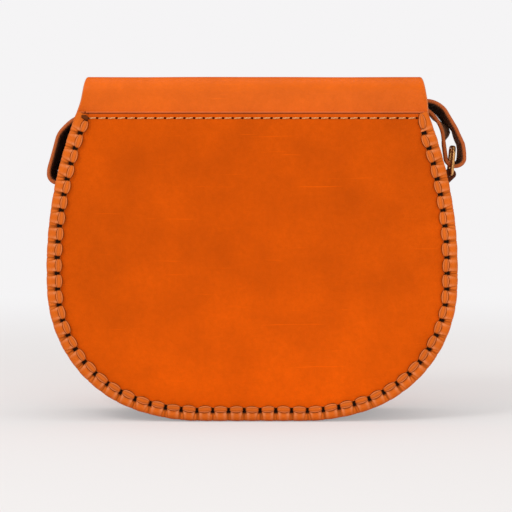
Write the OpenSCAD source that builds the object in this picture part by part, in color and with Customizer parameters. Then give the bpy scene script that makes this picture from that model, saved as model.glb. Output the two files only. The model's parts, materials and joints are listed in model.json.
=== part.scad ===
// Small leather saddle bag: two laced panels, a gusset, a folding flap and a strap that is tucked inside.
// +Z up, +X to the right of the back, the back faces -Y. The origin is on the ground under the bag's middle.

/* [Outline of the rim] */
// Width of the flat stretch that the bag stands on
foot_flat = 62; // [40:1:90]
// Radius of the arc next to the flat stretch
foot_r = 120; // [90:1:160]
// Angle of that arc
foot_turn = 19; // [10:1:25]
// Radius of the lower corners
corner_r = 79.5; // [60:0.5:100]
// Angle of the lower corners
corner_turn = 68; // [60:1:75]
// Radius of the sides, which lean in towards the top
side_r = 255; // [200:1:400]

/* [Panels] */
// Distance between the outer faces of the two panels
body_depth = 72; // [62:1:100]
// Thickness of the panel leather
panel_t = 2.6; // [2:0.1:3.4]
// Height of the back panel's top edge
back_top = 185.7; // [184:0.1:187.5]
// Height of the front panel's top edge
front_top = 183; // [181:0.5:184]

/* [Gusset] */
// Thickness of the gusset leather
gusset_t = 2.2; // [1.6:0.1:2.4]
// How far the gusset's wall lies inside the rim
gusset_inset = 9.5; // [9.2:0.1:12]
// Height of the gusset's top ends
gusset_top = 176; // [172:0.5:176]

/* [Binding] */
// Thickness of the binding leather
binding_t = 1.5; // [1.2:0.1:1.8]
// Width of the binding's legs, measured from the rim
binding_w = 8.8; // [8.8:0.1:9]
// Width of the binding's legs at their upper ends
binding_end_w = 6.2; // [5.4:0.1:6.4]
// Size of the rounding of the rim's bead
bead_round = 2.2; // [1.5:0.1:2.8]
// How far the binding's ends stand above the panel's top edge
binding_over = 1.3; // [0.5:0.1:1.6]

/* [Lacing] */
// Number of lace holes round each rim
lace_holes = 54; // [50:2:54]
// Distance from hole to hole
lace_pitch = 9.5; // [8.5:0.1:9.5]
// Distance of the holes from the rim
lace_inset = 7; // [6.6:0.1:7.2]
// Width of the lace on the faces
lace_w = 3.6; // [2.6:0.1:3.6]
// Thickness of the lace
lace_t = 1; // [0.8:0.05:1]
// Width of the lace where it is squeezed through a hole
lace_neck = 0.9; // [0.7:0.05:0.95]
// How far each lace span bows out
lace_crown = 0.3; // [0.1:0.05:0.5]
// Length of a hole along the rim
lace_hole_l = 2.6; // [2.4:0.1:3]
// Width of a hole across the rim
lace_hole_w = 2.7; // [2.5:0.1:3]

/* [Flap] */
// Thickness of the flap leather
flap_t = 2.4; // [2:0.1:2.6]
// Height of the fold at the back
flap_top_z = 207.2; // [204:0.1:212]
// Radius of the fold at the back, at the middle of the leather
back_fold_r = 8.6; // [6:0.2:12]
// Radius of the fold at the front, at the middle of the leather
front_fold_r = 9; // [7:0.5:12]
// Slope of the top towards the front
flap_slope = 8.5; // [4:0.5:11]
// Width of the flap at its seam
flap_seam_w = 214; // [208:1:214]
// Width of the flap at its narrowest, on the top
flap_waist_w = 194; // [188:1:200]
// Height of the flap's lower edge
flap_low = 32; // [28:1:60]
// Radius of the flap's lower edge
flap_foot_r = 190; // [150:5:250]
// Angle of the flap's lower edge
flap_foot_turn = 22; // [18:1:24]
// Radius of the flap's corners
flap_corner_r = 58; // [50:1:64]
// Angle of the flap's corners
flap_corner_turn = 65; // [60:1:66]
// Radius of the flap's sides
flap_side_r = 300; // [260:5:400]
// Height of the line about which the flap lifts
hinge_z = 191.5; // [190:0.1:193]
// Gap beside each bending line
bend_gap = 0.3; // [0.2:0.05:0.5]

/* [Seam of the flap] */
// Number of stitches
stitch_count = 34; // [20:1:34]
// Length of a stitch
stitch_pitch = 5.8; // [4:0.1:5.8]
// Distance of the seam below the back panel's top edge
seam_drop = 3; // [2.5:0.1:4]
// Width of the thread
thread_w = 0.8; // [0.6:0.05:0.9]
// Thickness of the thread
thread_t = 0.7; // [0.5:0.05:0.8]
// Side of a needle hole
needle_hole = 1.9; // [1.8:0.1:2.2]

/* [Rings and tabs] */
// Diameter of the ring wire
ring_wire = 2.4; // [2:0.1:2.6]
// Inner width of a ring, front to back
ring_w = 20.4; // [20:0.2:24]
// Inner height of a ring
ring_h = 14; // [13.6:0.1:15]
// Radius of the ring's corners, at the middle of the wire
ring_corner_r = 3.2; // [2.6:0.1:3.2]
// Width of a tab
tab_w = 16; // [14:0.5:16]
// Thickness of the tab leather
tab_t = 1.6; // [1.2:0.1:1.8]
// Length of the tab on the gusset
tab_l = 24; // [20:1:30]
// Distance of the right ring's lower bar from the middle of the bag
right_ring_x = 121.6; // [121:0.1:122.2]
// Height of the right ring's lower bar
right_ring_z = 148.6; // [148.3:0.1:148.7]
// Lean of the right ring, outwards
right_ring_lean = 5.2; // [4:0.1:6]
// Distance of the left ring's lower bar from the middle of the bag
left_ring_x = 114; // [113.8:0.1:114.3]
// Height of the left ring's lower bar
left_ring_z = 133.8; // [133.5:0.1:134]
// Lean of the left ring, outwards
left_ring_lean = 14.5; // [14:0.5:15]
// Radius of a rivet's shank
rivet_r = 1.6; // [1.2:0.1:1.8]
// Radius of a rivet's heads
rivet_head_r = 3.6; // [3:0.1:4]
// Height of a rivet's domed head
rivet_dome = 1.2; // [0.8:0.1:1.5]

/* [Strap] */
// Width of the strap
strap_w = 17.6; // [16:0.2:18]
// Thickness of the strap leather
strap_t = 2.4; // [2:0.1:2.6]
// Gap between two layers of strap
layer_gap = 0.5; // [0.4:0.05:0.6]
// Turn of the strap about the upright beside a ring
strap_turn = 12; // [0:1:14]
// Number of folded runs of the long strap, an odd number
strap_runs = 9; // [3:2:9]
// Length of a folded run
run_l = 34; // [26:1:35]
// Radius of the folds between the runs
run_fold_r = 3; // [2.6:0.1:3.1]

/* [Buckle] */
// Radius of the buckle's bars
bar_r = 1.3; // [1:0.1:1.5]
// Distance between the buckle's two bars
bar_gap = 22; // [21:0.5:24]
// Inner width of the buckle
buckle_w = 19; // [18.6:0.1:21]
// Radius of the prong
prong_r = 1.1; // [0.9:0.05:1.2]

/* [Press stud] */
// Height of the press stud
snap_z = 54; // [50:1:70]
// Radius of the cap
cap_r = 7.5; // [6:0.5:9]
// Height of the cap's dome
cap_dome = 2.4; // [1.5:0.1:3]
// Radius of the socket and of the stud's base
socket_r = 6; // [5:0.2:7]
// Radius of the stud's knob
knob_r = 2.2; // [1.8:0.1:2.5]

/* [Hidden] */
$fn = 48;
arc_step = 5;
strap_step = 12;
overrun = 1;
sag = 0.08;
hinge_gap = 0.3;
seat_gap = 0.1;
mid_y = body_depth / 2;
seam_t = max(gusset_t, flap_t);
rim_inside = binding_t + seat_gap;
side_start = foot_turn + corner_turn;
rim_t = panel_t + seam_t + 2 * binding_t;
box_mid_x = 2.32;
box_mid_y = 2.55;
side_cx = foot_flat / 2 + (foot_r - corner_r) * sin(foot_turn) + (corner_r - side_r) * sin(side_start);
side_cz = foot_r + (corner_r - foot_r) * cos(foot_turn) + (side_r - corner_r) * cos(side_start);

flap_y0 = mid_y - panel_t - flap_t / 2;
flap_in = mid_y + binding_t + lace_t + lace_crown + 4 * seat_gap;
flap_y1 = flap_in + flap_t / 2;
fold_turn = 90 + flap_slope;
fold_low_z = flap_top_z - flap_t / 2 - back_fold_r;
top_back_y = -flap_y0 + back_fold_r * (1 + sin(flap_slope));
top_back_z = fold_low_z + back_fold_r * cos(flap_slope);
top_run_y = flap_y1 - front_fold_r * (1 - sin(flap_slope)) - top_back_y;
top_run_l = top_run_y / cos(flap_slope);
top_front_z = top_back_z - top_run_y * tan(flap_slope);
front_fold_z = top_front_z - front_fold_r * cos(flap_slope);
bend_turn = (90 - flap_slope) / 2;
edge_r = flap_t / 2;

layer = strap_t + layer_gap;
wall_gap = 1.7;
wall_inset = gusset_inset + gusset_t + wall_gap + strap_t / 2;
loop_mid_r = bar_r + layer_gap / 2 + strap_t / 2;
bar_z = wall_inset + loop_mid_r;
eye_r = bar_r + hinge_gap + prong_r;
heel_x = 4;
front_bar_x = heel_x - bar_gap;
prong_hole = 1.6;
prong_play = 1.2;
spare_holes = 1;
spare_pitch = 9;

strap_bend_r = 12;
right_lean = 25;
right_crest_z = 193.5;
right_bend_r = 13;
right_bend_turn = 60;
right_bow_r = 40;
right_loop_r = 4.9;
right_loop_out = 1.717;
right_loop_up = 9.74;
loop_turn = 172;
right_inner_bow_r = 25;
right_inner_bow_turn = 32;
right_inner_bend_r = 18;
climb_bow_r = 40;

left_lean = 25;
left_crest_z = 185.9;
left_bend_r = 26;
left_bend_turn = 45;
left_bend_l = 3;
left_drop_r = 14;
left_drop_turn = 30;
left_bow_r = 20;
left_loop_r = 5.5;
left_loop_out = 4.3;
left_loop_up = 17.9;
left_inner_bow_r = 19.5;
left_inner_bow_turn = 42;
left_inner_bend_r = 18.8;

rivet_flat = 7.6;
turned_l = 8;
turned_bend_r = 8;
turned_flat = 3;
sunk_t = 0.5;
billet_tip_l = 16;
billet_bend_r = 16;
billet_flat = 5;
stack_rise_r = 14;
stack_z = 18;
stack_right = 61;
keeper_t = 1.2;
keeper_gap = 0.2;
keeper_l = 8;

thread_share = 0.7;
cap_t = 0.8;
snap_shank_r = 1.8;
leather = "#D95A10";
edge_leather = "#B4480C";
brass = "#C9A04E";
thread_colour = "#E3A765";

// A place on a path is [across, up, heading in degrees].
function ahead(p, l) = [p.x + l * cos(p.z), p.y + l * sin(p.z), p.z];

function turned(p, r, a) = let (s = sign(a))
    [p.x + r * s * (sin(p.z + a) - sin(p.z)), p.y - r * s * (cos(p.z + a) - cos(p.z)), p.z + a];

// Places along a path of moves, each [length, 0] straight on or [radius, angle] round a bend, left positive,
// with its bends in steps that stay close to the true arc
function trail(p, moves, step = arc_step, i = 0) =
    i == len(moves) ? [p] :
    let (m = moves[i], n = max(1, ceil(abs(m[1]) / min(step, 2 * acos(1 - sag / max(m[0], 1))))),
        steps = m[1] == 0 ? [p] : [for (k = [0 : n - 1]) turned(p, m[0], m[1] * k / n)],
        next = m[1] == 0 ? ahead(p, m[0]) : turned(p, m[0], m[1]))
    concat(steps, trail(next, moves, step, i + 1));

function trail_end(p, moves) = let (t = trail(p, moves)) t[len(t) - 1];

// A place moved to its left by a distance
function beside(p, d) = [p.x - d * sin(p.z), p.y + d * cos(p.z), p.z];

function mirrored(p) = [-p.x, p.y, -p.z];

function xy(path) = [for (p = path) [p.x, p.y]];

function both_sides(half) = concat([for (i = [len(half) - 1 : -1 : 1]) mirrored(half[i])], half);

// Half of the rim's outline, moved in by an inset, from the middle of the bottom up to a height
function half_rim(inset, top) = trail([0, inset, 0], [[foot_flat / 2, 0], [foot_r - inset, foot_turn],
    [corner_r - inset, corner_turn],
    [side_r - inset, 90 - side_start + asin((top - side_cz) / (side_r - inset))]]);

// The place on the rim's outline at a distance from the middle of the bottom, right positive
function rim_at(s, inset) =
    s < 0 ? mirrored(rim_at(-s, inset)) :
    let (a = foot_flat / 2, b = (foot_r - inset) * foot_turn * PI / 180,
        c = (corner_r - inset) * corner_turn * PI / 180, start = [a, inset, 0])
    s < a ? [s, inset, 0] :
    s < a + b ? turned(start, foot_r - inset, foot_turn * (s - a) / b) :
    s < a + b + c ? turned(turned(start, foot_r - inset, foot_turn), corner_r - inset,
        corner_turn * (s - a - b) / c) :
    turned(turned(turned(start, foot_r - inset, foot_turn), corner_r - inset, corner_turn), side_r - inset,
        (s - a - b - c) / (side_r - inset) * 180 / PI);

// The place on the upper side of the rim at a height
function side_at(z, inset) = let (a = asin((z - side_cz) / (side_r - inset)))
    [side_cx + (side_r - inset) * cos(a), z, 90 + a];

// A closed skin over rings of points, which all have as many points. caps are the faces that fill a ring.
module skin(rings, caps = []) {
    n = len(rings[0]);
    m = len(rings);
    fill = len(caps) > 0 ? caps : [[for (j = [0 : n - 1]) j]];
    polyhedron(points = [for (r = rings) each r], faces = concat(fill,
        [for (i = [0 : m - 2], j = [0 : n - 1]) let (a = i * n + j, b = i * n + (j + 1) % n)
            each [[a, a + n, b + n], [a, b + n, b]]],
        [for (f = fill) [for (j = [len(f) - 1 : -1 : 0]) (m - 1) * n + f[j]]]));
}

// A flat plate that stands across the bag, from a depth to the next
module plate(y0, y1) {
    translate([0, y1, 0]) rotate([90, 0, 0]) linear_extrude(y1 - y0) children();
}

module lace_hole_marks() {
    for (k = [0 : lace_holes - 1]) {
        p = rim_at((k - (lace_holes - 1) / 2) * lace_pitch, lace_inset);
        translate([p.x, p.y]) rotate(p.z) square([lace_hole_l, lace_hole_w], center = true);
    }
}

function stitch_x(k) = (k - stitch_count / 2) * stitch_pitch;

module needle_marks() {
    for (k = [0 : stitch_count])
        translate([stitch_x(k), back_top - seam_drop]) square(needle_hole, center = true);
}

// One lace or thread that runs in and out through a row of holes. at() gives the place at a distance
// along the row, first is the number of its first hole, and its legs lie to one side of each hole.
function strand(at, holes, pitch, first, y_out, y_in, w, t, neck, side, crown, y_dir) =
    let (reach = neck / 2 + t / 4, off = side * (neck / 2 + t / 6),
        ring = function (s, y, o, wide, lean) let (p = at(s), n = [-sin(p.z), 0, cos(p.z)],
                u = [cos(p.z), 0, sin(p.z)], c = [p.x, 0, p.y] + o * n + [0, y, 0],
                d = t / 2 * ([0, y_dir, 0] + lean * u))
            [c + y_dir * wide / 2 * n - d, c - y_dir * wide / 2 * n - d,
                c - y_dir * wide / 2 * n + d, c + y_dir * wide / 2 * n + d])
    [for (k = [0 : holes - 2]) let (s0 = (k - (holes - 1) / 2) * pitch, s1 = s0 + pitch,
            out = (k + first) % 2 == 0, y = out ? y_out : y_in, bow = out ? -y_dir * crown : 0,
            lean = out ? 1 : -1)
        each [ring(s0 + reach / 2, y, off, neck, lean),
            ring((s0 + s1) / 2, y + bow, 0, w, 0),
            ring(s1 - reach / 2, y, off, neck, -lean)]];

module rim_lace(dir) {
    at = function (s) rim_at(s, lace_inset);
    y_out = mid_y + binding_t + lace_t / 2 + seat_gap;
    y_in = mid_y - panel_t - seam_t - binding_t - lace_t / 2 - seat_gap;
    for (first = [0, 1])
        skin(strand(at, lace_holes, lace_pitch, first, dir * y_out, dir * y_in, lace_w, lace_t,
            lace_neck, 1 - 2 * first, lace_crown, -dir));
}

module panel(y0, y1, top) {
    plate(y0, y1) difference() {
        polygon(xy(both_sides(half_rim(rim_inside, top))));
        lace_hole_marks();
        children();
    }
}

module back_panel() {
    color(leather) panel(-mid_y, -mid_y + panel_t, back_top) needle_marks();
}

module front_panel() {
    color(leather) difference() {
        panel(mid_y - panel_t, mid_y, front_top);
        translate([0, mid_y - panel_t - overrun, snap_z]) rotate([-90, 0, 0])
            cylinder(r = snap_shank_r + seat_gap, h = panel_t + 2 * overrun);
    }
}

// The gusset's wall, which bends round the bag from one top end to the other
module gusset() {
    y1 = mid_y - panel_t;
    color(edge_leather) difference() {
        plate(-y1, y1) difference() {
            polygon(xy(both_sides(half_rim(gusset_inset, gusset_top + overrun))));
            polygon(xy(both_sides(half_rim(gusset_inset + gusset_t, gusset_top + 2 * overrun))));
            translate([-foot_r, gusset_top]) square([2 * foot_r, 2 * overrun]);
        }
        for (side = [-1, 1]) mirror([side < 0 ? 1 : 0, 0, 0]) tab_bore(side);
    }
}

// The gusset's edge, turned out flat against a panel
module gusset_flange(dir) {
    y1 = dir * (mid_y - panel_t);
    y0 = y1 - dir * gusset_t;
    color(edge_leather) plate(min(y0, y1), max(y0, y1)) difference() {
        polygon(xy(both_sides(half_rim(rim_inside, gusset_top))));
        polygon(xy(both_sides(half_rim(gusset_inset, gusset_top + overrun))));
        lace_hole_marks();
    }
}

module gusset_back_flange() { gusset_flange(-1); }

module gusset_front_flange() { gusset_flange(1); }

// Binding folded over the rim, as a channel with a rounded back
module binding(dir, top) {
    o = mid_y + binding_t;
    i = o - rim_t;
    c = bead_round;
    profile = [[binding_w, o], [c, o], [c / 3, o - c / 3], [0, o - c], [0, i + c], [c / 3, i + c / 3],
        [c, i], [binding_w, i], [binding_w, i + binding_t], [binding_t, i + binding_t],
        [binding_t, o - binding_t], [binding_w, o - binding_t]];
    last = len(profile) - 1;
    points = dir < 0 ? profile : [for (k = [last : -1 : 0]) profile[k]];
    quads = [[0, 1, 10, 11], [1, 2, 10], [2, 3, 10], [3, 4, 9, 10], [4, 5, 9], [5, 6, 9], [6, 7, 8, 9]];
    caps = dir < 0 ? quads : [for (q = quads) [for (k = [len(q) - 1 : -1 : 0]) last - q[k]]];
    path = both_sides(concat(half_rim(0, gusset_top + layer_gap),
        [side_at(back_top - 2 * seam_drop + thread_w, 0), side_at(top + 2 * bead_round, 0)]));
    color(leather) difference() {
        skin([for (p = path) let (leg = p.y > gusset_top + overrun ? binding_end_w : binding_w)
            [for (q = points) let (b = beside(p, min(q.x, leg))) [b.x, dir * q.y, b.y]]], caps);
        plate(dir * mid_y - rim_t, dir * mid_y + rim_t) lace_hole_marks();
        translate([0, dir * mid_y, top + 2 * rim_t])
            cube([flap_seam_w + 2 * rim_t, 3 * rim_t, 4 * rim_t], center = true);
    }
}

module back_binding() { binding(-1, back_top + binding_over); }

module front_binding() { binding(1, front_top + binding_over); }

module back_lacing() { color(leather) rim_lace(-1); }

module front_lacing() { color(leather) rim_lace(1); }

// Half of the flap's width at a height above its seam, narrowest in the middle of the top
waist_run = fold_low_z - back_top + seam_drop + back_fold_r * fold_turn * PI / 180 + top_run_l / 2;

function flap_half(run) = let (far = 1 - run / waist_run)
    flap_waist_w / 2 + (flap_seam_w - flap_waist_w) / 2 * (far > 0 ? far * far : 0);

// Root of the flap, sewn behind the back panel's top edge
module flap_anchor() {
    top = hinge_z - edge_r - bend_gap;
    low = gusset_top + layer_gap;
    free = back_top + binding_over + seat_gap;
    steps = [for (k = [0 : 3]) side_at(low + (free - low) * k / 3, rim_inside + seat_gap)];
    half = concat(xy(steps), [for (z = [free, top]) [flap_half(z - back_top + seam_drop), z]]);
    color(leather) plate(-flap_y0 - flap_t / 2, -flap_y0 + flap_t / 2) difference() {
        polygon(concat(half, [for (i = [len(half) - 1 : -1 : 0]) [-half[i].x, half[i].y]]));
        needle_marks();
    }
}

module flap_seam_thread() {
    at = function (s) [s, back_top - seam_drop, 0];
    y_out = -mid_y - thread_t / 2;
    y_in = -flap_y0 + flap_t / 2 + thread_t / 2;
    color(thread_colour) for (first = [0, 1])
        skin(strand(at, stitch_count + 1, stitch_pitch, first, y_out, y_in, thread_w, thread_t,
            thread_w * thread_share, 1 - 2 * first, 0, 1));
}

// Rings of a strip of leather that lies across the bag: path is [depth, up, heading], halves its half widths
function strip(path, halves, t) = [for (i = [0 : len(path) - 1])
    let (p = path[i], h = halves[i], a = beside(p, t / 2), b = beside(p, -t / 2))
    [[-h, a.x, a.y], [h, a.x, a.y], [h, b.x, b.y], [-h, b.x, b.y]]];

// The flap from its bending line at the back to the bending line in the front fold
module flap_top() {
    start = [-flap_y0, hinge_z, 90];
    path = trail(start, [[fold_low_z - hinge_z, 0], [back_fold_r, -fold_turn], [top_run_l / 2, 0],
        [top_run_l / 2, 0], [front_fold_r, -bend_turn + (edge_r + bend_gap) / front_fold_r * 180 / PI]]);
    lengths = path_lengths(path);
    h0 = hinge_z - back_top + seam_drop;
    halves = [for (i = [0 : len(path) - 1]) lengths[i] + h0 < waist_run ? flap_half(lengths[i] + h0) :
        flap_waist_w / 2 + (front_half(front_fold_z) - flap_waist_w / 2)
        * (lengths[i] + h0 - waist_run) / (top_run_l / 2 + front_fold_r * bend_turn * PI / 90)];
    color(leather) union() {
        skin(strip(path, halves, flap_t));
        translate([-halves[0], -flap_y0, hinge_z]) rotate([0, 90, 0])
            cylinder(r = edge_r - seat_gap, h = 2 * halves[0]);
    }
}

function path_lengths(path) = [for (i = 0, l = 0; i < len(path);
    l = l + (i + 1 < len(path) ? norm([path[i + 1].x - path[i].x, path[i + 1].y - path[i].y]) : 0),
    i = i + 1) l];

// Half outline of the flap's front, from the middle of its lower edge to a height
flap_side_start = flap_foot_turn + flap_corner_turn;
flap_cx = (flap_foot_r - flap_corner_r) * sin(flap_foot_turn)
    + (flap_corner_r - flap_side_r) * sin(flap_side_start);
flap_cz = flap_low + flap_foot_r + (flap_corner_r - flap_foot_r) * cos(flap_foot_turn)
    + (flap_side_r - flap_corner_r) * cos(flap_side_start);

function front_half(z) = flap_cx + flap_side_r * cos(asin((z - flap_cz) / flap_side_r));

module flap_front() {
    waist = front_half(front_fold_z);
    half = concat(trail([0, flap_low, 0], [[flap_foot_r, flap_foot_turn], [flap_corner_r, flap_corner_turn],
        [flap_side_r, 90 - flap_side_start + asin((front_fold_z - flap_cz) / flap_side_r)]]),
        [[waist, front_fold_z + front_fold_r, 0]]);
    path = trail([flap_y1, flap_low - overrun, 90],
        [[front_fold_z - flap_low + overrun, 0], [front_fold_r, bend_turn]]);
    last = path[len(path) - 1];
    profile = concat(xy([for (p = path) beside(p, -edge_r)]),
        [for (k = [1 : 11]) let (a = last.z - 90 + 15 * k)
            [last.x + edge_r * cos(a), last.y + edge_r * sin(a)]],
        xy([for (i = [len(path) - 1 : -1 : 0]) beside(path[i], edge_r)]));
    color(leather) difference() {
        intersection() {
            rotate([90, 0, 90]) linear_extrude(2 * flap_seam_w, center = true) polygon(profile);
            plate(0, 2 * flap_y1) polygon(xy(both_sides(half)));
        }
        translate([0, flap_y1 - flap_t, snap_z]) rotate([-90, 0, 0])
            cylinder(r = snap_shank_r + seat_gap, h = 2 * flap_t);
    }
}

// Place of a tab's rivet on the gusset
function tab_rivet_at(side) = side_at((side < 0 ? left_ring_z : right_ring_z) - tab_l, gusset_inset);

module tab_bore(side) {
    p = tab_rivet_at(side);
    translate([p.x, 0, p.y]) rotate([0, 180 - p.z, 0]) translate([0, 0, -4 * tab_t - gusset_t])
        cylinder(r = rivet_r + seat_gap, h = 8 * tab_t + 2 * gusset_t);
}

// Leather tab, folded round a ring's lower bar and flat on the gusset below it
module tab(side, x, z) {
    out_r = ring_wire / 2 + hinge_gap + tab_t;
    thick = 2 * tab_t;
    low = tab_rivet_at(side).y - 2 * rivet_head_r;
    high = z - tab_l / 2;
    zs = [for (k = [0 : 4]) low + (high - low) * k / 4];
    wall = [for (h = zs) side_at(h, gusset_inset - seat_gap)];
    face = [for (k = [4 : -1 : 0]) side_at(zs[k], gusset_inset - seat_gap - thick)];
    bend = [for (a = [150 : -15 : -30]) [x + out_r * cos(a), z + out_r * sin(a)]];
    color(edge_leather) mirror([side < 0 ? 1 : 0, 0, 0]) difference() {
        plate(-tab_w / 2, tab_w / 2) polygon(concat(xy(wall), bend, xy(face)));
        translate([x, -tab_w, z]) rotate([-90, 0, 0]) cylinder(r = ring_wire / 2 + hinge_gap, h = 2 * tab_w);
        tab_bore(side);
    }
}

module tab_left() { tab(-1, left_ring_x, left_ring_z); }

module tab_right() { tab(1, right_ring_x, right_ring_z); }

// Rivet with a domed head, a shank and a flat head, from z = 0 down through a stack of leather
module rivet(grip) {
    dome_r = (rivet_head_r * rivet_head_r + rivet_dome * rivet_dome) / (2 * rivet_dome);
    color(brass) union() {
        intersection() {
            translate([0, 0, rivet_dome - dome_r]) sphere(r = dome_r);
            cylinder(r = rivet_head_r, h = 2 * rivet_dome);
        }
        translate([0, 0, -grip - rivet_dome / 2]) cylinder(r = rivet_r, h = grip + rivet_dome);
        translate([0, 0, -grip - rivet_dome / 2]) cylinder(r = rivet_head_r, h = rivet_dome / 2);
    }
}

module tab_rivet(side) {
    p = tab_rivet_at(side);
    mirror([side < 0 ? 1 : 0, 0, 0]) translate([p.x, 0, p.y]) rotate([0, 180 - p.z, 0])
        translate([0, 0, 2 * tab_t + 2 * seat_gap]) rivet(2 * tab_t + gusset_t + 5 * seat_gap);
}

module tab_rivet_left() { tab_rivet(-1); }

module tab_rivet_right() { tab_rivet(1); }

// Ring bent from round wire: an oblong with rounded corners
module ring_loop() {
    half = (ring_w + ring_wire) / 2 - ring_corner_r;
    tall = (ring_h + ring_wire) / 2 - ring_corner_r;
    color(brass) translate([0, 0, tall + ring_corner_r]) union() {
        for (s = [-1, 1]) {
            translate([0, -half, s * (tall + ring_corner_r)]) rotate([-90, 0, 0])
                cylinder(d = ring_wire, h = 2 * half);
            translate([0, s * (half + ring_corner_r), -tall]) cylinder(d = ring_wire, h = 2 * tall);
        }
        for (k = [0 : 3]) rotate([90 * k, 0, 0])
            translate([0, k % 2 == 0 ? half : tall, k % 2 == 0 ? tall : half]) rotate([90, 0, 90])
                rotate_extrude(angle = 90) translate([ring_corner_r, 0]) circle(d = ring_wire);
    }
}

module ring_left() {
    mirror([1, 0, 0]) translate([left_ring_x, 0, left_ring_z]) rotate([0, left_ring_lean, 0]) ring_loop();
}

module ring_right() {
    translate([right_ring_x, 0, right_ring_z]) rotate([0, right_ring_lean, 0]) ring_loop();
}

// Rings of a strap: path is [across, up, heading], turns how far each place is turned about the upright
function ribbon(path, turns) = [for (i = [0 : len(path) - 1])
    let (p = path[i], w = [sin(turns[i]), cos(turns[i]), 0], n = cross([cos(p.z), 0, sin(p.z)], w),
        wide = strap_w / 2 * w, thick = strap_t / 2 * n / norm(n), c = [p.x, 0, p.y])
    [c - wide - thick, c + wide - thick, c + wide + thick, c - wide + thick]];

// Turn along the stretch that shows, nothing at its ends and where it runs through the ring
function turn_of(path, from) = let (l = path_lengths(path), a = l[from], b = l[len(path) - 1])
    [for (i = [0 : len(path) - 1]) i < from ? 0 : strap_turn * pow(sin(360 * (l[i] - a) / (b - a)), 2)];

// Moves that take a strap from the wall up to the height of its crest
function climb_moves(start, crest_z) =
    let (h = start.z, up = crest_z - start.y - strap_bend_r * (1 - cos(h)))
    [[up / sin(h), 0], [strap_bend_r, -h]];

// Moves from the wall over the crest and down to the loop at x and z. mid is the stretch between the bend
// and the straight drop, and the crest's flat and the drop take up what is left.
function down_moves(start, crest_z, mid, bow_r, x, z) =
    let (climb = climb_moves(start, crest_z), top = trail_end(start, climb), low = trail_end(top, mid),
        h = -low.z,
        drop = (low.y - z - bow_r * cos(h)) / sin(h))
    concat(climb, [[x - low.x - drop * cos(h) - bow_r * (1 - sin(h)), 0]], mid, [[drop, 0], [bow_r, h - 90]]);

// Moves round the loop and back up under the first layer, to the flat end that the rivet holds
function back_moves(start, down, loop_r, crest_z, bow_r, bow_turn, bend_r) =
    let (round_l = concat(down, [[loop_r, -loop_turn]]), low = trail_end(start, round_l), h1 = low.z + 360,
        h2 = h1 + bow_turn,
        rise = crest_z - layer - low.y - bow_r * (cos(h1) - cos(h2)) - bend_r * (cos(h2) - cos(180)))
    concat(round_l, [[rise / sin(h1), 0], [bow_r, bow_turn], [bend_r, 180 - h2], [rivet_flat, 0]]);

function right_moves(start) = back_moves(start, down_moves(start, right_crest_z,
    [[right_bend_r, -right_bend_turn]], right_bow_r, right_ring_x + right_loop_out + right_loop_r,
    right_ring_z + right_loop_up), right_loop_r, right_crest_z, right_inner_bow_r, right_inner_bow_turn,
    right_inner_bend_r);

function left_moves(start) = back_moves(start, down_moves(start, left_crest_z,
    [[left_bend_r, -left_bend_turn], [left_bend_l, 0], [left_drop_r, -left_drop_turn]], left_bow_r,
    left_ring_x + left_loop_out + left_loop_r, left_ring_z + left_loop_up), left_loop_r, left_crest_z,
    left_inner_bow_r, left_inner_bow_turn, left_inner_bend_r);

// Angle of each half of an S bend that climbs by a rise
function s_turn(r, rise) = acos(1 - rise / (2 * r));

// The short strap: turned round the buckle's bar, along the bottom, up the left wall and through the ring
turned_turn = s_turn(turned_bend_r, 2 * loop_mid_r - layer);
turned_x = heel_x + turned_flat + 2 * turned_bend_r * sin(turned_turn) + turned_l;
turned_start = [turned_x, wall_inset + layer, -180];
short_low = [[turned_l, 0], [turned_bend_r, -turned_turn], [turned_bend_r, turned_turn], [turned_flat, 0],
    [loop_mid_r, 180], [foot_flat / 2 - heel_x, 0], [foot_r - wall_inset, foot_turn],
    [corner_r - wall_inset, 90 + left_lean - foot_turn]];
short_wall = trail_end(turned_start, short_low);
short_path = trail(turned_start, concat(short_low, left_moves(short_wall)), strap_step);
short_from = len(trail(turned_start, short_low, strap_step)) + 3;

module strap_short() {
    reach = loop_mid_r + strap_t;
    slot_w = 2 * prong_r + 4 * layer_gap;
    color(leather) mirror([1, 0, 0]) difference() {
        skin(ribbon(short_path, turn_of(short_path, short_from)));
        translate([left_rivet_x(), 0, 0]) rivet_bore(left_crest_z);
        translate([turned_start.x - turned_l / 2, 0, 0]) rivet_bore(wall_inset + layer);
        sunk_heads();
        translate([heel_x - reach, -slot_w / 2, bar_z - reach])
            cube([reach + eye_r + layer_gap, slot_w, 2 * reach]);
    }
}

// Bore for a rivet through two layers whose upper one has its middle at a height
module rivet_bore(z) {
    translate([0, 0, z - layer - 2 * strap_t]) cylinder(r = rivet_r + seat_gap, h = 4 * strap_t + layer);
}

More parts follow.
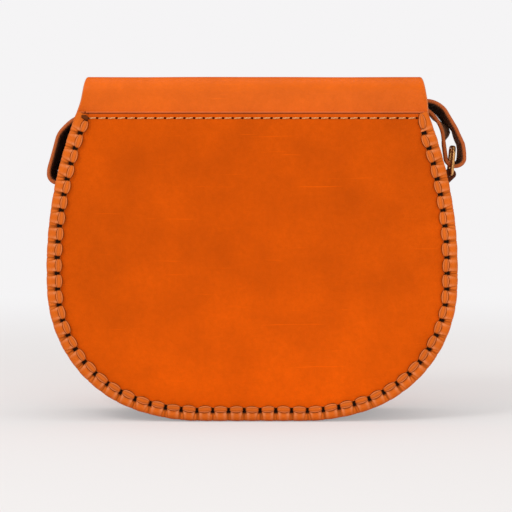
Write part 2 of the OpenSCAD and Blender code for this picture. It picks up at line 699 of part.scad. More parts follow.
// The long strap: its tip, through the buckle, folded to and fro, up the right wall and through the ring
over_z = bar_z + loop_mid_r + layer;
billet_turn = s_turn(billet_bend_r, over_z - wall_inset);
billet_x = -front_bar_x - 2 * billet_bend_r * sin(billet_turn) - billet_flat;
rest_turn = s_turn(billet_bend_r, over_z - wall_inset - 2 * layer);
tip_arc_r = foot_r - wall_inset - 2 * layer;
rest_l = billet_x - 2 * billet_bend_r * sin(rest_turn) + foot_flat / 2;
long_start = turned([-foot_flat / 2, wall_inset + 2 * layer, 180],
    tip_arc_r, -billet_tip_l / tip_arc_r * 180 / PI);
stack_turn = s_turn(stack_rise_r, stack_z - wall_inset);
run_first = stack_right + front_bar_x - 2 * bar_r - strap_t - 2 * stack_rise_r * sin(stack_turn);
long_low = concat([[tip_arc_r, billet_tip_l / tip_arc_r * 180 / PI], [rest_l, 0], [billet_bend_r, rest_turn],
    [billet_bend_r, -rest_turn], [billet_flat, 0], [billet_bend_r, -billet_turn],
    [billet_bend_r, billet_turn], [2 * bar_r + strap_t, 0], [stack_rise_r, stack_turn],
    [stack_rise_r, -stack_turn], [run_first, 0]],
    [for (k = [1 : strap_runs - 1]) each [[run_fold_r, k % 2 == 1 ? 180 : -180], [run_l, 0]]]);
stack_end = trail_end([long_start.x, long_start.y, long_start.z - 180], long_low);
climb_x = side_at(stack_end.y + climb_bow_r, wall_inset).x - climb_bow_r - layer_gap;
long_climb = [[climb_x - stack_end.x, 0], [climb_bow_r, 90 + right_lean]];
long_wall = trail_end(stack_end, long_climb);
long_first = [long_start.x, long_start.y, long_start.z - 180];
long_path = trail(long_first, concat(long_low, long_climb, right_moves(long_wall)), strap_step);
long_from = len(trail(long_first, concat(long_low, long_climb), strap_step)) + 3;

module strap_long() {
    color(leather) difference() {
        skin(ribbon(long_path, turn_of(long_path, long_from)));
        translate([right_rivet_x(), 0, 0]) rivet_bore(right_crest_z);
        translate([-heel_x + (bar_gap - prong_play) / 2, 0, bar_z])
            cube([prong_play + 4 * prong_hole + 2 * prong_r, 2 * prong_hole, 6 * loop_mid_r], center = true);
        for (k = [1 : spare_holes]) translate([-front_bar_x + (k + 1) * spare_pitch, 0, wall_inset - strap_t])
            cylinder(r = prong_hole, h = stack_z - wall_inset + 2.5 * strap_t);
    }
}

function left_rivet_x() = short_path[len(short_path) - 1].x + rivet_flat / 2;

function right_rivet_x() = long_path[len(long_path) - 1].x + rivet_flat / 2;

module strap_rivet_left() {
    mirror([1, 0, 0]) translate([left_rivet_x(), 0, left_crest_z + strap_t / 2 + seat_gap])
        rivet(layer + strap_t + 2 * seat_gap);
}

module strap_rivet_right() {
    translate([right_rivet_x(), 0, right_crest_z + strap_t / 2 + seat_gap])
        rivet(layer + strap_t + 2 * seat_gap);
}

// Rivet with flat heads let into the leather, so that the tip slides over it
module buckle_rivet() {
    low = wall_inset - strap_t / 2;
    high = wall_inset + layer + strap_t / 2;
    color(brass) translate([-turned_start.x + turned_l / 2, 0, 0]) union() {
        translate([0, 0, low]) cylinder(r = rivet_r, h = high - low);
        translate([0, 0, low]) cylinder(r = rivet_head_r, h = sunk_t);
        translate([0, 0, high - sunk_t]) cylinder(r = rivet_head_r, h = sunk_t);
    }
}

module sunk_heads() {
    for (z = [wall_inset - strap_t / 2 - sunk_t, wall_inset + layer + strap_t / 2 - sunk_t - seat_gap])
        translate([turned_start.x - turned_l / 2, 0, z])
            cylinder(r = rivet_head_r + seat_gap, h = 2 * sunk_t + seat_gap);
}

// Buckle frame: two bars across the strap and two sides
module buckle_frame() {
    y = buckle_w / 2 + bar_r;
    color(brass) translate([-heel_x, 0, bar_z]) union() {
        for (x = [0, bar_gap]) translate([x, -y, 0]) rotate([-90, 0, 0]) cylinder(r = bar_r, h = 2 * y);
        for (s = [-1, 1])
            translate([-bar_r, s * y - bar_r, -bar_r]) cube([bar_gap + 2 * bar_r, 2 * bar_r, 2 * bar_r]);
    }
}

// Prong with an eye round the buckle's heel bar, its tip on the front bar
module buckle_prong() {
    tilt = asin((bar_r + prong_r + hinge_gap) / bar_gap);
    color(brass) translate([-heel_x, 0, bar_z]) difference() {
        union() {
            translate([0, prong_r, 0]) rotate([90, 0, 0]) cylinder(r = eye_r, h = 2 * prong_r);
            rotate([0, 90 - tilt, 0]) cylinder(r = prong_r, h = bar_gap + 2 * bar_r);
        }
        translate([0, 2 * prong_r, 0]) rotate([90, 0, 0]) cylinder(r = bar_r + hinge_gap, h = 4 * prong_r);
    }
}

// Leather keeper round the short strap and the tip
module strap_keeper() {
    p = rim_at(turned_start.x + keeper_l, wall_inset);
    low = -strap_t / 2 - keeper_gap;
    high = 2 * layer + strap_t / 2 + layer_gap;
    wide = strap_w + 2 * layer_gap;
    color(edge_leather) translate([-p.x, 0, p.y]) rotate([0, p.z, 0]) difference() {
        translate([-keeper_l / 2, -wide / 2 - keeper_t, low - keeper_t])
            cube([keeper_l, wide + 2 * keeper_t, high - low + 2 * keeper_t]);
        translate([-keeper_l, -wide / 2, low]) cube([2 * keeper_l, wide, high - low]);
    }
}

module snap_place(y) { translate([0, y, snap_z]) rotate([-90, 0, 0]) children(); }

module snap_cap() {
    dome_r = (cap_r * cap_r + cap_dome * cap_dome) / (2 * cap_dome);
    color(brass) snap_place(flap_y1 + flap_t / 2) union() {
        intersection() {
            translate([0, 0, cap_dome - dome_r]) sphere(r = dome_r);
            cylinder(r = cap_r, h = 2 * cap_dome);
        }
        translate([0, 0, -flap_t]) cylinder(r = snap_shank_r, h = flap_t + cap_dome / 2);
    }
}

module snap_socket() {
    deep = flap_in - mid_y - cap_t - hinge_gap;
    color(brass) snap_place(flap_in) rotate([180, 0, 0]) difference() {
        cylinder(r = socket_r, h = deep);
        translate([0, 0, cap_t]) cylinder(r = knob_r + hinge_gap, h = deep);
    }
}

module snap_stud() {
    color(brass) snap_place(mid_y) union() {
        cylinder(r = socket_r, h = cap_t);
        cylinder(r = knob_r, h = flap_in - mid_y - cap_t - hinge_gap);
        translate([0, 0, -panel_t]) cylinder(r = snap_shank_r, h = panel_t);
    }
}

module snap_back() {
    color(brass) snap_place(mid_y - panel_t) rotate([180, 0, 0]) cylinder(r = socket_r, h = cap_t);
}

// Everything is worked out from the middle of the two panels, and then moved to the middle of the whole box
module placed() { translate([-box_mid_x, -box_mid_y, 0]) children(); }

placed() back_panel();
placed() front_panel();
placed() gusset();
placed() gusset_back_flange();
placed() gusset_front_flange();
placed() back_binding();
placed() front_binding();
placed() back_lacing();
placed() front_lacing();
placed() flap_anchor();
placed() flap_seam_thread();
placed() flap_top();
placed() flap_front();
placed() tab_left();
placed() tab_right();
placed() tab_rivet_left();
placed() tab_rivet_right();
placed() ring_left();
placed() ring_right();
placed() strap_short();
placed() strap_long();
placed() strap_rivet_left();
placed() strap_rivet_right();
placed() buckle_frame();
placed() buckle_prong();
placed() buckle_rivet();
placed() strap_keeper();
placed() snap_cap();
placed() snap_socket();
placed() snap_stud();
placed() snap_back();
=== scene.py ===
"""Looks of a small laced leather saddle bag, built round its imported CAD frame."""

import json
import math
import random

import bpy
from bpy.props import FloatProperty, FloatVectorProperty, IntProperty, PointerProperty
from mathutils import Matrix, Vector, noise


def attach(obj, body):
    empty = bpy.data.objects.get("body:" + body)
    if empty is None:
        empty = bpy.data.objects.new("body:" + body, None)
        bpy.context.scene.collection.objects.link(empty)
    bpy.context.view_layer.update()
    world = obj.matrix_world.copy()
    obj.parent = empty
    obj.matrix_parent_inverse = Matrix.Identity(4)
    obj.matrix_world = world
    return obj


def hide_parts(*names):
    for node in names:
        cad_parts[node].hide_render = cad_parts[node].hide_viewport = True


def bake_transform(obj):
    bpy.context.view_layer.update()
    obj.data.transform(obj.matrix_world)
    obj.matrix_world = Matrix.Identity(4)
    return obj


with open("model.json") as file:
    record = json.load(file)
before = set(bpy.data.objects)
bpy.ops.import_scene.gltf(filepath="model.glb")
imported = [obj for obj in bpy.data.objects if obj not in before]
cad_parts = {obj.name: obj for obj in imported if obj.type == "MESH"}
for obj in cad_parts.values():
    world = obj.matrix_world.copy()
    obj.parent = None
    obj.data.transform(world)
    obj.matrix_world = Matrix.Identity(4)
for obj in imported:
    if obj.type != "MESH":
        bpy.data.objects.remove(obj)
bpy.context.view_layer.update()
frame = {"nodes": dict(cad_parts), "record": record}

bl_info = {
    "name": "Laced Saddle Bag",
    "version": (1, 0, 0),
    "blender": (4, 5, 0),
    "location": "View3D > Sidebar > Saddle Bag",
    "description": "Builds a hand-laced leather saddle bag with its flap, straps and brass fittings",
    "category": "Object",
}

MM = 0.001
# Zero of the sizes below is the middle of the two panels. It lies this far from the middle of the whole box
PANELS_MID = Vector((2.32, 2.55, 0.0))


def linear(hex_code):
    """An sRGB hex value as linear red, green, blue and alpha."""
    values = [int(hex_code[i : i + 2], 16) / 255 for i in (1, 3, 5)]
    return [v / 12.92 if v <= 0.04045 else ((v + 0.055) / 1.055) ** 2.4 for v in values] + [1.0]


# settings


def measure(name, words, value):
    """A number for the sidebar, in millimetres unless its words say otherwise."""
    return FloatProperty(name=name, description=words, default=value)


def whole(name, words, value):
    return IntProperty(name=name, description=words, default=value)


def shade(name, words, hex_code):
    return FloatVectorProperty(name=name, description=words, subtype="COLOR", size=4, min=0, max=1,
                               default=linear(hex_code))


class BagSizes(bpy.types.PropertyGroup):
    """Sizes of the bag's body and flap, in millimetres"""

    foot_flat: measure("Flat foot", "Flat stretch that the bag stands on", 62)
    foot_r: measure("Foot radius", "Radius of the arc beside the flat foot", 120)
    foot_turn: measure("Foot angle", "Angle of that arc, in degrees", 19)
    corner_r: measure("Corner radius", "Radius of the lower corners", 79.5)
    corner_turn: measure("Corner angle", "Angle of the lower corners, in degrees", 68)
    side_r: measure("Side radius", "Radius of the sides", 255)
    depth: measure("Depth", "Distance between the panels' outer faces", 72)
    panel_t: measure("Panel leather", "Thickness of the panels", 2.6)
    flap_t: measure("Flap leather", "Thickness of the flap", 2.4)
    gusset_t: measure("Gusset leather", "Thickness of the gusset", 2.2)
    back_top: measure("Back panel's top", "Height of the back panel's top edge", 185.7)
    front_top: measure("Front panel's top", "Height of the front panel's edge", 183)
    gusset_top: measure("Gusset's top", "Height of the gusset's ends", 176)
    gusset_inset: measure("Gusset inset", "How far the gusset lies inside the rim", 9.5)
    dish: measure("Dish", "How far the panels are hollowed in their middle", 1.6)


class LaceSizes(bpy.types.PropertyGroup):
    """Sizes of the lacing, its binding and the flap's seam, in millimetres"""

    holes: whole("Holes", "Lace holes round each rim", 54)
    pitch: measure("Pitch", "Distance from hole to hole", 9.5)
    inset: measure("Inset", "Distance of the holes from the rim", 7)
    lace_w: measure("Lace width", "Width of the lace where it lies on a face", 4.6)
    lace_l: measure("Span length", "Length of each lace span", 9.3)
    leg: measure("Binding width", "Width of the binding on each face", 8.8)
    leg_end: measure("Binding's end width", "Width at the binding's ends", 6.2)
    pucker: measure("Pucker", "Depth of the creases that the lace pulls", 0.5)
    stitches: whole("Stitches", "Stitches of the flap's seam", 34)
    stitch: measure("Stitch pitch", "Length from needle hole to needle hole", 5.8)


class StrapSizes(bpy.types.PropertyGroup):
    """Sizes of the strap and the rings, in millimetres"""

    width: measure("Width", "Width of the strap", 17.6)
    thick: measure("Thickness", "Thickness of the strap leather", 2.4)
    lean: measure("Right lean", "Lean of the right strap's far edge, in widths", 0.5)
    lean_left: measure("Left lean", "Lean of the left strap's far edge", 0.36)
    wire: measure("Ring wire", "Diameter of the ring wire", 2.4)


class Finishes(bpy.types.PropertyGroup):
    """Colours of the leathers, the thread and the metal"""

    panel: shade("Panel leather", "Waxed orange leather of the two panels", "#CC5001")
    flap: shade("Flap leather", "Waxed orange leather of the flap", "#DB6009")
    rim: shade("Binding leather", "Thin leather folded over the rims", "#D86618")
    lace: shade("Lace", "Flat burnished lace", "#D6671C")
    # A darker brown leather; for the tabs it is also darkened further as painted shade, for the shade they
    # hang in
    dark: shade("Gusset leather", "Darker leather of the gusset and tabs", "#5E290F")
    strap: shade("Strap's grain side", "Waxed outside of the strap", "#B04A10")
    flesh: shade("Strap's flesh side", "Raw inside of the strap", "#7F5133")
    thread: shade("Thread", "Waxed sewing thread", "#DFA05E")
    brass: shade("Brass", "Satin brass of rings, buckle and rivets", "#F0B874")


class StageSettings(bpy.types.PropertyGroup):
    """Floor, light and camera"""

    floor: shade("Floor", "Pale studio floor", "#E2DEDC")
    backdrop: shade("Backdrop", "Pale backdrop behind the bag", "#F5F4F5")
    soft_light: measure("Soft light", "Strength of the light from all round", 0.88)
    mirror_light: measure("Mirrored light", "How bright the room is in the gloss", 0.05)
    floor_seen: measure("Floor in view", "Share of the floor's brightness in view", 0.9)
    floor_lift: measure("Floor lift", "Share of plain backdrop in the floor", 0.32)
    floor_near: measure("Fade start", "Where the floor starts to melt away, in metres", 0.3)
    floor_far: measure("Fade end", "Where the floor has melted away, in metres", 1.1)
    elevation: measure("Elevation", "Camera's angle above the floor, in degrees", 3.0)
    distance: measure("Distance", "Camera's distance from the bag, in metres", 1.4)
    view_w: measure("View width", "Width of the view at the back panel, in mm", 307.5)


# lines of the rim, in millimetres


def turned(p, r, a):
    """A place [across, up, heading] after a bend of radius r by a degrees, left positive."""
    s = 1 if a >= 0 else -1
    h0, h1 = math.radians(p[2]), math.radians(p[2] + a)
    across, up = r * s * (math.sin(h1) - math.sin(h0)), r * s * (math.cos(h0) - math.cos(h1))
    return (p[0] + across, p[1] + up, p[2] + a)


def ahead(p, run):
    h = math.radians(p[2])
    return (p[0] + run * math.cos(h), p[1] + run * math.sin(h), p[2])


def trail(p, moves, step=5.0, run=4.0):
    """Places along moves: (length, 0) is straight on and (radius, angle) is a bend."""
    places = [p]
    for size, angle in moves:
        if angle == 0:
            n = max(1, round(size / run))
            places += [ahead(p, size * (k + 1) / n) for k in range(n)]
            p = ahead(p, size)
        else:
            n = max(1, math.ceil(abs(angle) / step), round(size * math.radians(abs(angle)) / run))
            places += [turned(p, size, angle * (k + 1) / n) for k in range(n)]
            p = turned(p, size, angle)
    return places


def end_of(p, moves):
    return trail(p, moves)[-1]


def lengths_along(line):
    """The distance along a line of places to each of them."""
    lengths = [0.0]
    for a, c in zip(line, line[1:]):
        lengths.append(lengths[-1] + math.hypot(c[0] - a[0], c[1] - a[1]))
    return lengths


class Rim:
    """The outline of the bag's rim: a flat foot, then arcs up each side, each a radius and an angle."""

    def __init__(self, b):
        self.half = b.foot_flat / 2
        self.arcs = ((b.foot_r, b.foot_turn), (b.corner_r, b.corner_turn), (b.side_r, 180))
        self.side_r = b.side_r
        a, c = math.radians(b.foot_turn), math.radians(b.foot_turn + b.corner_turn)
        self.cx = self.half + (b.foot_r - b.corner_r) * math.sin(a) + (b.corner_r - b.side_r) * math.sin(c)
        self.cz = b.foot_r + (b.corner_r - b.foot_r) * math.cos(a) + (b.side_r - b.corner_r) * math.cos(c)

    def at(self, s, inset):
        """The place at a distance along the rim from the middle of its foot, right positive."""
        if s < 0:
            x, z, h = self.at(-s, inset)
            return (-x, z, -h)
        place = (min(s, self.half), inset, 0.0)
        s -= self.half
        for r, turn in self.arcs:
            if s > 0:
                place = turned(place, r - inset, min(math.degrees(s / r), turn))
            s -= r * math.radians(turn)
        return place

    def side(self, z, inset):
        """The place on the right side at a height."""
        a = math.asin((z - self.cz) / (self.side_r - inset))
        return (self.cx + (self.side_r - inset) * math.cos(a), z, 90 + math.degrees(a))

    def length_to(self, z):
        """Distance along the rim from the middle of its foot to a height on its side."""
        length, heading = self.half, self.side(z, 0)[2]
        for r, turn in self.arcs:
            length += r * math.radians(min(heading, turn))
            heading -= turn
        return length

    def hole(self, s, inset):
        """Distance along the rim to a lace hole, from its distance along the line of holes."""
        if s < 0:
            return -self.hole(-s, inset)
        outer = min(s, self.half)
        s -= self.half
        for r, turn in self.arcs:
            along = min(max(s, 0.0), (r - inset) * math.radians(turn))
            outer += along * r / (r - inset)
            s -= along
        return outer


# meshes


# Faces that meet at less than this many degrees are shaded as one
SMOOTH = 35


def clear_selection():
    if bpy.context.object and bpy.context.object.mode != "OBJECT":
        bpy.ops.object.mode_set(mode="OBJECT")
    bpy.ops.object.select_all(action="DESELECT")


def pick(obj):
    clear_selection()
    obj.select_set(True)
    bpy.context.view_layer.objects.active = obj


def make(name, verts, faces, marks=None, places=None, angle=SMOOTH):
    """A mesh object from points in millimetres. marks are numbers and places are vectors for its material."""
    mesh = bpy.data.meshes.new(name)
    mesh.from_pydata([(Vector(v) - PANELS_MID) * MM for v in verts], [], faces)
    for key, values in (marks or {}).items():
        mesh.attributes.new(key, "FLOAT", "POINT").data.foreach_set("value", values)
    for key, values in (places or {}).items():
        flat = [c for v in values for c in v]
        mesh.attributes.new(key, "FLOAT_VECTOR", "POINT").data.foreach_set("vector", flat)
    obj = bpy.data.objects.new(name, mesh)
    bpy.context.scene.collection.objects.link(obj)
    pick(obj)
    bpy.ops.object.mode_set(mode="EDIT")
    bpy.ops.mesh.select_all(action="SELECT")
    bpy.ops.mesh.normals_make_consistent(inside=False)
    bpy.ops.object.mode_set(mode="OBJECT")
    bpy.ops.object.shade_smooth_by_angle(angle=math.radians(angle))
    clear_selection()
    return obj


def placed(x, y, z):
    """A place in millimetres from the panels' middle, in metres from the middle of the whole box."""
    return (Vector((x, y, z)) - PANELS_MID) * MM


def skin_faces(count, n, closed=False, base=0):
    """Faces over rings of n points each, with a cap on each end unless the rings close."""
    faces = []
    for i in range(count if closed else count - 1):
        k = (i + 1) % count
        for j in range(n):
            a, b = base + i * n + j, base + i * n + (j + 1) % n
            c, d = base + k * n + (j + 1) % n, base + k * n + j
            faces.append((a, b, c, d))
    if not closed:
        faces.append(tuple(base + j for j in range(n - 1, -1, -1)))
        faces.append(tuple(base + (count - 1) * n + j for j in range(n)))
    return faces


def skin(name, rings, closed=False, marks=None, places=None, angle=SMOOTH):
    verts = [p for ring in rings for p in ring]
    return make(name, verts, skin_faces(len(rings), len(rings[0]), closed), marks, places, angle)


def softened(node, name, width):
    """A copy of a CAD node with its doubles merged and its sharp edges bevelled."""
    source = frame["nodes"][node]
    obj = bpy.data.objects.new(name, source.data.copy())
    bpy.context.scene.collection.objects.link(obj)
    pick(obj)
    bpy.ops.object.mode_set(mode="EDIT")
    bpy.ops.mesh.select_all(action="SELECT")
    bpy.ops.mesh.remove_doubles(threshold=2e-6)
    bpy.ops.mesh.dissolve_limited(angle_limit=math.radians(0.3))
    bpy.ops.object.mode_set(mode="OBJECT")
    bevel = obj.modifiers.new("Edges", "BEVEL")
    bevel.width = width * MM
    bevel.segments = 2
    bevel.limit_method = "ANGLE"
    bevel.angle_limit = math.radians(50)
    bevel.use_clamp_overlap = True
    bpy.ops.object.modifier_apply(modifier="Edges")
    bpy.ops.object.shade_smooth_by_angle(angle=math.radians(SMOOTH))
    obj.data.materials.clear()
    clear_selection()
    return obj


def dress(obj, material, body, slot, *nodes):
    """Gives a piece its material and body, and hides the CAD nodes that it stands for. The slot is not used.
    """
    obj.data.materials.append(material)
    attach(obj, body)
    if nodes:
        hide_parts(*nodes)


# materials


def add(tree, kind, inputs=None, **settings):
    """Adds a node with its settings. inputs holds values, or the sockets that it takes."""
    node = tree.nodes.new("ShaderNode" + kind)
    node.location = (220 * len(tree.nodes), 0)
    for key, value in settings.items():
        setattr(node, key, value)
    for key, value in (inputs or {}).items():
        if isinstance(value, bpy.types.NodeSocket):
            tree.links.new(value, node.inputs[key])
        else:
            node.inputs[key].default_value = value
    return node


def new_material(name):
    material = bpy.data.materials.get(name)
    if material:
        return material, None
    material = bpy.data.materials.new(name)
    material.use_nodes = True
    material.node_tree.nodes.clear()
    return material, material.node_tree


def tint(colour, factor):
    return [min(1.0, c * factor) for c in colour[:3]] + [1.0]


def spot_place(t):
    return add(t, "TexCoord").outputs["Object"]


def mark(t, name, output="Fac"):
    return add(t, "Attribute", attribute_name=name).outputs[output]


def clouds(t, place, wide, detail, rough, **more):
    """Noise with clouds about so many millimetres wide."""
    inputs = {"Vector": place, "Scale": 1 / (wide * MM), "Detail": detail, "Roughness": rough, **more}
    return add(t, "TexNoise", inputs).outputs["Fac"]


def pebbles(t, place, wide):
    """Distance from the middle of cells about so many millimetres wide."""
    return add(t, "TexVoronoi", {"Vector": place, "Scale": 1 / (wide * MM)}, feature="F1").outputs["Distance"]


def ranged(t, value, low, high, to_low=0.0, to_high=1.0):
    inputs = {"Value": value, "From Min": low, "From Max": high, "To Min": to_low, "To Max": to_high}
    return add(t, "MapRange", inputs).outputs["Result"]


def mixed(t, share, a, b, **settings):
    return add(t, "Mix", {0: share, 6: a, 7: b}, data_type="RGBA", **settings).outputs[2]


def surface(t, base, rough, height, strength, deep, **more):
    """The shader and the output. The relief's height is so many millimetres deep."""
    bump = add(t, "Bump", {"Height": height, "Strength": strength, "Distance": deep * MM})
    inputs = {"Base Color": base, "Roughness": rough, "Normal": bump.outputs["Normal"], **more}
    add(t, "OutputMaterial", {0: add(t, "BsdfPrincipled", inputs).outputs[0]})


# Near-black brown for painted shade: in creases, at holes, in gaps, on inner sides and in deep shade; the
# lace's knot is darkened with it too
SHADE_BROWN = [0.012, 0.004, 0.0015, 1.0]
LEATHER_IOR = 1.48


def leather(name, colour, highlight_and_edge, grain_mm, grain, rough, mottle, scars, gleam, painted_bounce):
    """Vegetable-tanned hide, dyed through and waxed: a fine pebbled grain, cloudy dye and a soft gloss.
    The mark "dark" paints shade into creases, holes, gaps and inner sides and darkens cut edges a little;
    "pale" paints highlights and lightens cut edges."""
    material, t = new_material(name)
    if t is None:
        return material
    place = spot_place(t)
    speck = clouds(t, place, 3.1, 5.0, 0.65)
    dyed = ranged(t, clouds(t, place, 34, 4.0, 0.55), 0.3, 0.72)
    base = mixed(t, dyed, tint(colour, 1 - 0.16 * mottle), tint(colour, 1 + 0.14 * mottle))
    base = mixed(t, ranged(t, speck, 0.35, 0.7, 0.0, 0.30 * mottle), base, tint(colour, 0.66))
    if painted_bounce > 0:
        # Painted light: the colour is lighter towards the lower edge and a little towards the right, in place
        # of light thrown up from the floor
        down = add(t, "VectorMath", {0: place, 1: (1.2, 0.0, -7.0)}, operation="DOT_PRODUCT").outputs["Value"]
        lighter = (1 + painted_bounce, 1 + painted_bounce, 1 + painted_bounce, 1.0)
        lift = mixed(t, ranged(t, down, -0.75, -0.05), (1.0, 1.0, 1.0, 1.0), lighter)
        base = mixed(t, 1.0, base, lift, blend_type="MULTIPLY")
    if scars > 0:
        # Faint scratches: a noise drawn out along one way and cut at its crest
        inputs = {"Vector": place, "Rotation": (0.0, 0.5, 0.0), "Scale": (22.0, 40.0, 620.0)}
        line = clouds(t, add(t, "Mapping", inputs).outputs["Vector"], 1 / MM, 2.0, 0.5)
        base = mixed(t, ranged(t, line, 0.70, 0.76, 0.0, scars), base, tint(colour, 1.5))
    # Painted highlight, and lighter cut edges, where the mark "pale" is high
    base = mixed(t, mark(t, "pale"), base, highlight_and_edge)
    # Painted shade where the mark "dark" is high
    base = mixed(t, mark(t, "dark"), base, SHADE_BROWN)
    # Rounded pebbles with pores between them, and the specks
    relief = add(t, "Math", {0: pebbles(t, place, grain_mm), 1: 0.75}, operation="MULTIPLY").outputs[0]
    for part in (clouds(t, place, 0.55, 3.0, 0.6), speck):
        relief = add(t, "Math", {0: relief, 1: part}, operation="ADD").outputs[0]
    gloss = ranged(t, speck, 0.3, 0.7, rough - 0.07, rough + 0.1)
    surface(t, base, gloss, relief, grain, 0.25, **{"IOR": LEATHER_IOR, "Specular IOR Level": gleam})
    return material


def strap_leather(name, grain_side, flesh_side):
    """Bridle leather: waxed and smooth on the grain side, raw and fibrous on the flesh side and its edges.
    The mark "flesh" is 1 on the raw side, "cut" is 1 on the cut edges, and "dark" is 1 in deep shade."""
    material, t = new_material(name)
    if t is None:
        return material
    place = spot_place(t)
    fibre = clouds(t, place, 0.9, 6.0, 0.75, Distortion=1.4)
    flesh = mark(t, "flesh")
    waxed = mixed(t, clouds(t, place, 9, 5.0, 0.6), tint(grain_side, 0.7), tint(grain_side, 1.2))
    raw = mixed(t, fibre, tint(flesh_side, 0.55), tint(flesh_side, 1.45))
    edge = mixed(t, fibre, linear("#8F3C06"), linear("#DC6C14"))
    base = mixed(t, flesh, waxed, raw)
    base = mixed(t, mark(t, "cut"), base, edge)
    base = mixed(t, mark(t, "dark"), base, SHADE_BROWN)
    relief = add(t, "Mix", {0: flesh, 2: pebbles(t, place, 1.1), 3: fibre}).outputs[0]
    surface(t, base, ranged(t, flesh, 0.0, 1.0, 0.4, 0.85), relief, 0.6, 0.3, IOR=LEATHER_IOR)
    return material


def brass(name, colour):
    """Drawn brass wire and turned brass, satin and a little aged: brown film in spots, fine drawing lines."""
    material, t = new_material(name)
    if t is None:
        return material
    place = spot_place(t)
    film = clouds(t, place, 2.6, 5.0, 0.6)
    base = mixed(t, ranged(t, film, 0.48, 0.72, 0.0, 0.6), list(colour), linear("#A8713A"))
    drawn = clouds(t, place, 0.4, 3.0, 0.7)
    surface(t, base, ranged(t, film, 0.3, 0.75, 0.34, 0.5), drawn, 0.12, 0.1, Metallic=1.0)
    return material


def thread(name, colour):
    """Waxed linen thread: three strands twisted, with ridges drawn a little wide so that they show."""
    material, t = new_material(name)
    if t is None:
        return material
    inputs = {"Vector": mark(t, "along", "Vector"), "Scale": 0.32, "Distortion": 0.4, "Detail": 1.0}
    twist = add(t, "TexWave", inputs, wave_type="BANDS", bands_direction="DIAGONAL").outputs["Fac"]
    # Painted shade in the twist's grooves and painted light on its ridges, on the same bands as the relief
    base = mixed(t, twist, tint(colour, 0.62), tint(colour, 1.15))
    surface(t, base, 0.55, twist, 0.5, 0.1, **{"Sheen Weight": 0.2})
    return material


def hide_finish(kind):
    """The leathers by kind: the colour of painted highlights and pale cut edges, pebbles in mm, relief,
    roughness, mottle, scratches, gloss and how much painted light lightens the lower part."""
    name, highlight_and_edge, *values = {
        "panel": ("Waxed veg-tan panel hide", "#E8A070", 1.3, 0.42, 0.44, 0.8, 0.35, 0.03, 0.25),
        "flap": ("Waxed veg-tan flap hide", "#E8A070", 1.3, 0.4, 0.4, 0.7, 0.2, 0.12, 0.0),
        "rim": ("Skived binding hide", "#EFA877", 1.0, 0.4, 0.46, 0.6, 0.0, 0.06, 0.0),
        "lace": ("Burnished flat lace", "#F2B48A", 0.9, 0.3, 0.42, 0.6, 0.0, 0.06, 0.0),
        "dark": ("Dark gusset hide", "#C07040", 1.4, 0.5, 0.5, 0.7, 0.0, 0.1, 0.0),
    }[kind]
    return leather(name, getattr(bpy.context.scene.bag_finishes, kind), linear(highlight_and_edge), *values)


def strap_finish():
    f = bpy.context.scene.bag_finishes
    return strap_leather("Bridle strap hide", f.strap, f.flesh)


def brass_finish():
    return brass("Satin drawn brass", bpy.context.scene.bag_finishes.brass)


# panels and gusset


def bell(x, width):
    return math.exp(-(x / width) ** 2)


def smooth(x):
    x = min(1.0, max(0.0, x))
    return x * x * (3 - 2 * x)


def wander(x, y, z, size):
    return noise.noise(Vector((x / size, y / size, z / size)))


def panel_outline(rim, inset, top, round_n=96, top_n=44):
    """Places round a panel: along its rim from left to right, then back along its top edge."""
    end = rim.length_to(top)
    loop = [rim.at(end * (k / round_n * 2 - 1), inset)[:2] for k in range(round_n + 1)]
    (x0, z0), (x1, z1) = loop[-1], loop[0]
    return loop + [(x0 + (x1 - x0) * k / top_n, z0 + (z1 - z0) * k / top_n) for k in range(1, top_n)]


# A panel's rings as shares of its outline, from its edge to its middle, and that middle's height
PANEL_RINGS = (1.0, 0.985, 0.96, 0.93, 0.9, 0.86, 0.81, 0.75, 0.68, 0.6, 0.52, 0.44, 0.36, 0.28, 0.2, 0.12,
               0.05)
PANEL_MID_Z = 96.0
# How far a panel lies inside the rim, how far its edges are rounded off and how far its seam is below its top
PANEL_INSET, PANEL_ROUND, SEAM_DOWN = 1.7, 0.45, 3


def build_panel(name, facing, top, seam_z):
    """A stiff hide panel, hollowed a little in its middle, with rounded edges and a groove along its seam.
    facing is -1 for the back."""
    b = bpy.context.scene.bag_sizes
    loop = panel_outline(Rim(b), PANEL_INSET, top)
    verts, pale = [], []
    for drop, lift, order in ((0.0, PANEL_ROUND, PANEL_RINGS[::-1]), (b.panel_t, -PANEL_ROUND, PANEL_RINGS)):
        for share in order:
            edge = share == 1.0
            for x, z in loop:
                x, z = x * share, PANEL_MID_Z + (z - PANEL_MID_Z) * share
                inward = drop + (lift if edge else 0.0) + b.dish * smooth((0.9 - share) / 0.75)
                inward += 0.35 * wander(x, 3 + facing, z, 46) * smooth((0.95 - share) / 0.3)
                if seam_z and abs(x) < 100:
                    inward += 0.22 * bell(z - seam_z, 1.1)
                verts.append((x, facing * (b.depth / 2 - inward), z))
                # Painted highlight: a pale line along the top edge, where it catches the light
                pale.append(0.6 * smooth((z - top + 0.7) / 0.7) if edge else 0.0)
    faces = skin_faces(2 * len(PANEL_RINGS), len(loop))
    return make(name, verts, faces, {"dark": [0.0] * len(verts), "pale": pale})


class BAG_OT_panels(bpy.types.Operator):
    """Builds the back and front panels as dished hides"""

    bl_idname = "bag.panels"
    bl_label = "Panels"

    def execute(self, context):
        b = context.scene.bag_sizes
        back = build_panel("back_panel_hide", -1, b.back_top, b.back_top - SEAM_DOWN)
        dress(back, hide_finish("panel"), "bag", "panel_leather", "back_panel")
        front = build_panel("front_panel_hide", 1, b.front_top, None)
        dress(front, hide_finish("panel"), "bag", "panel_leather", "front_panel")
        return {"FINISHED"}


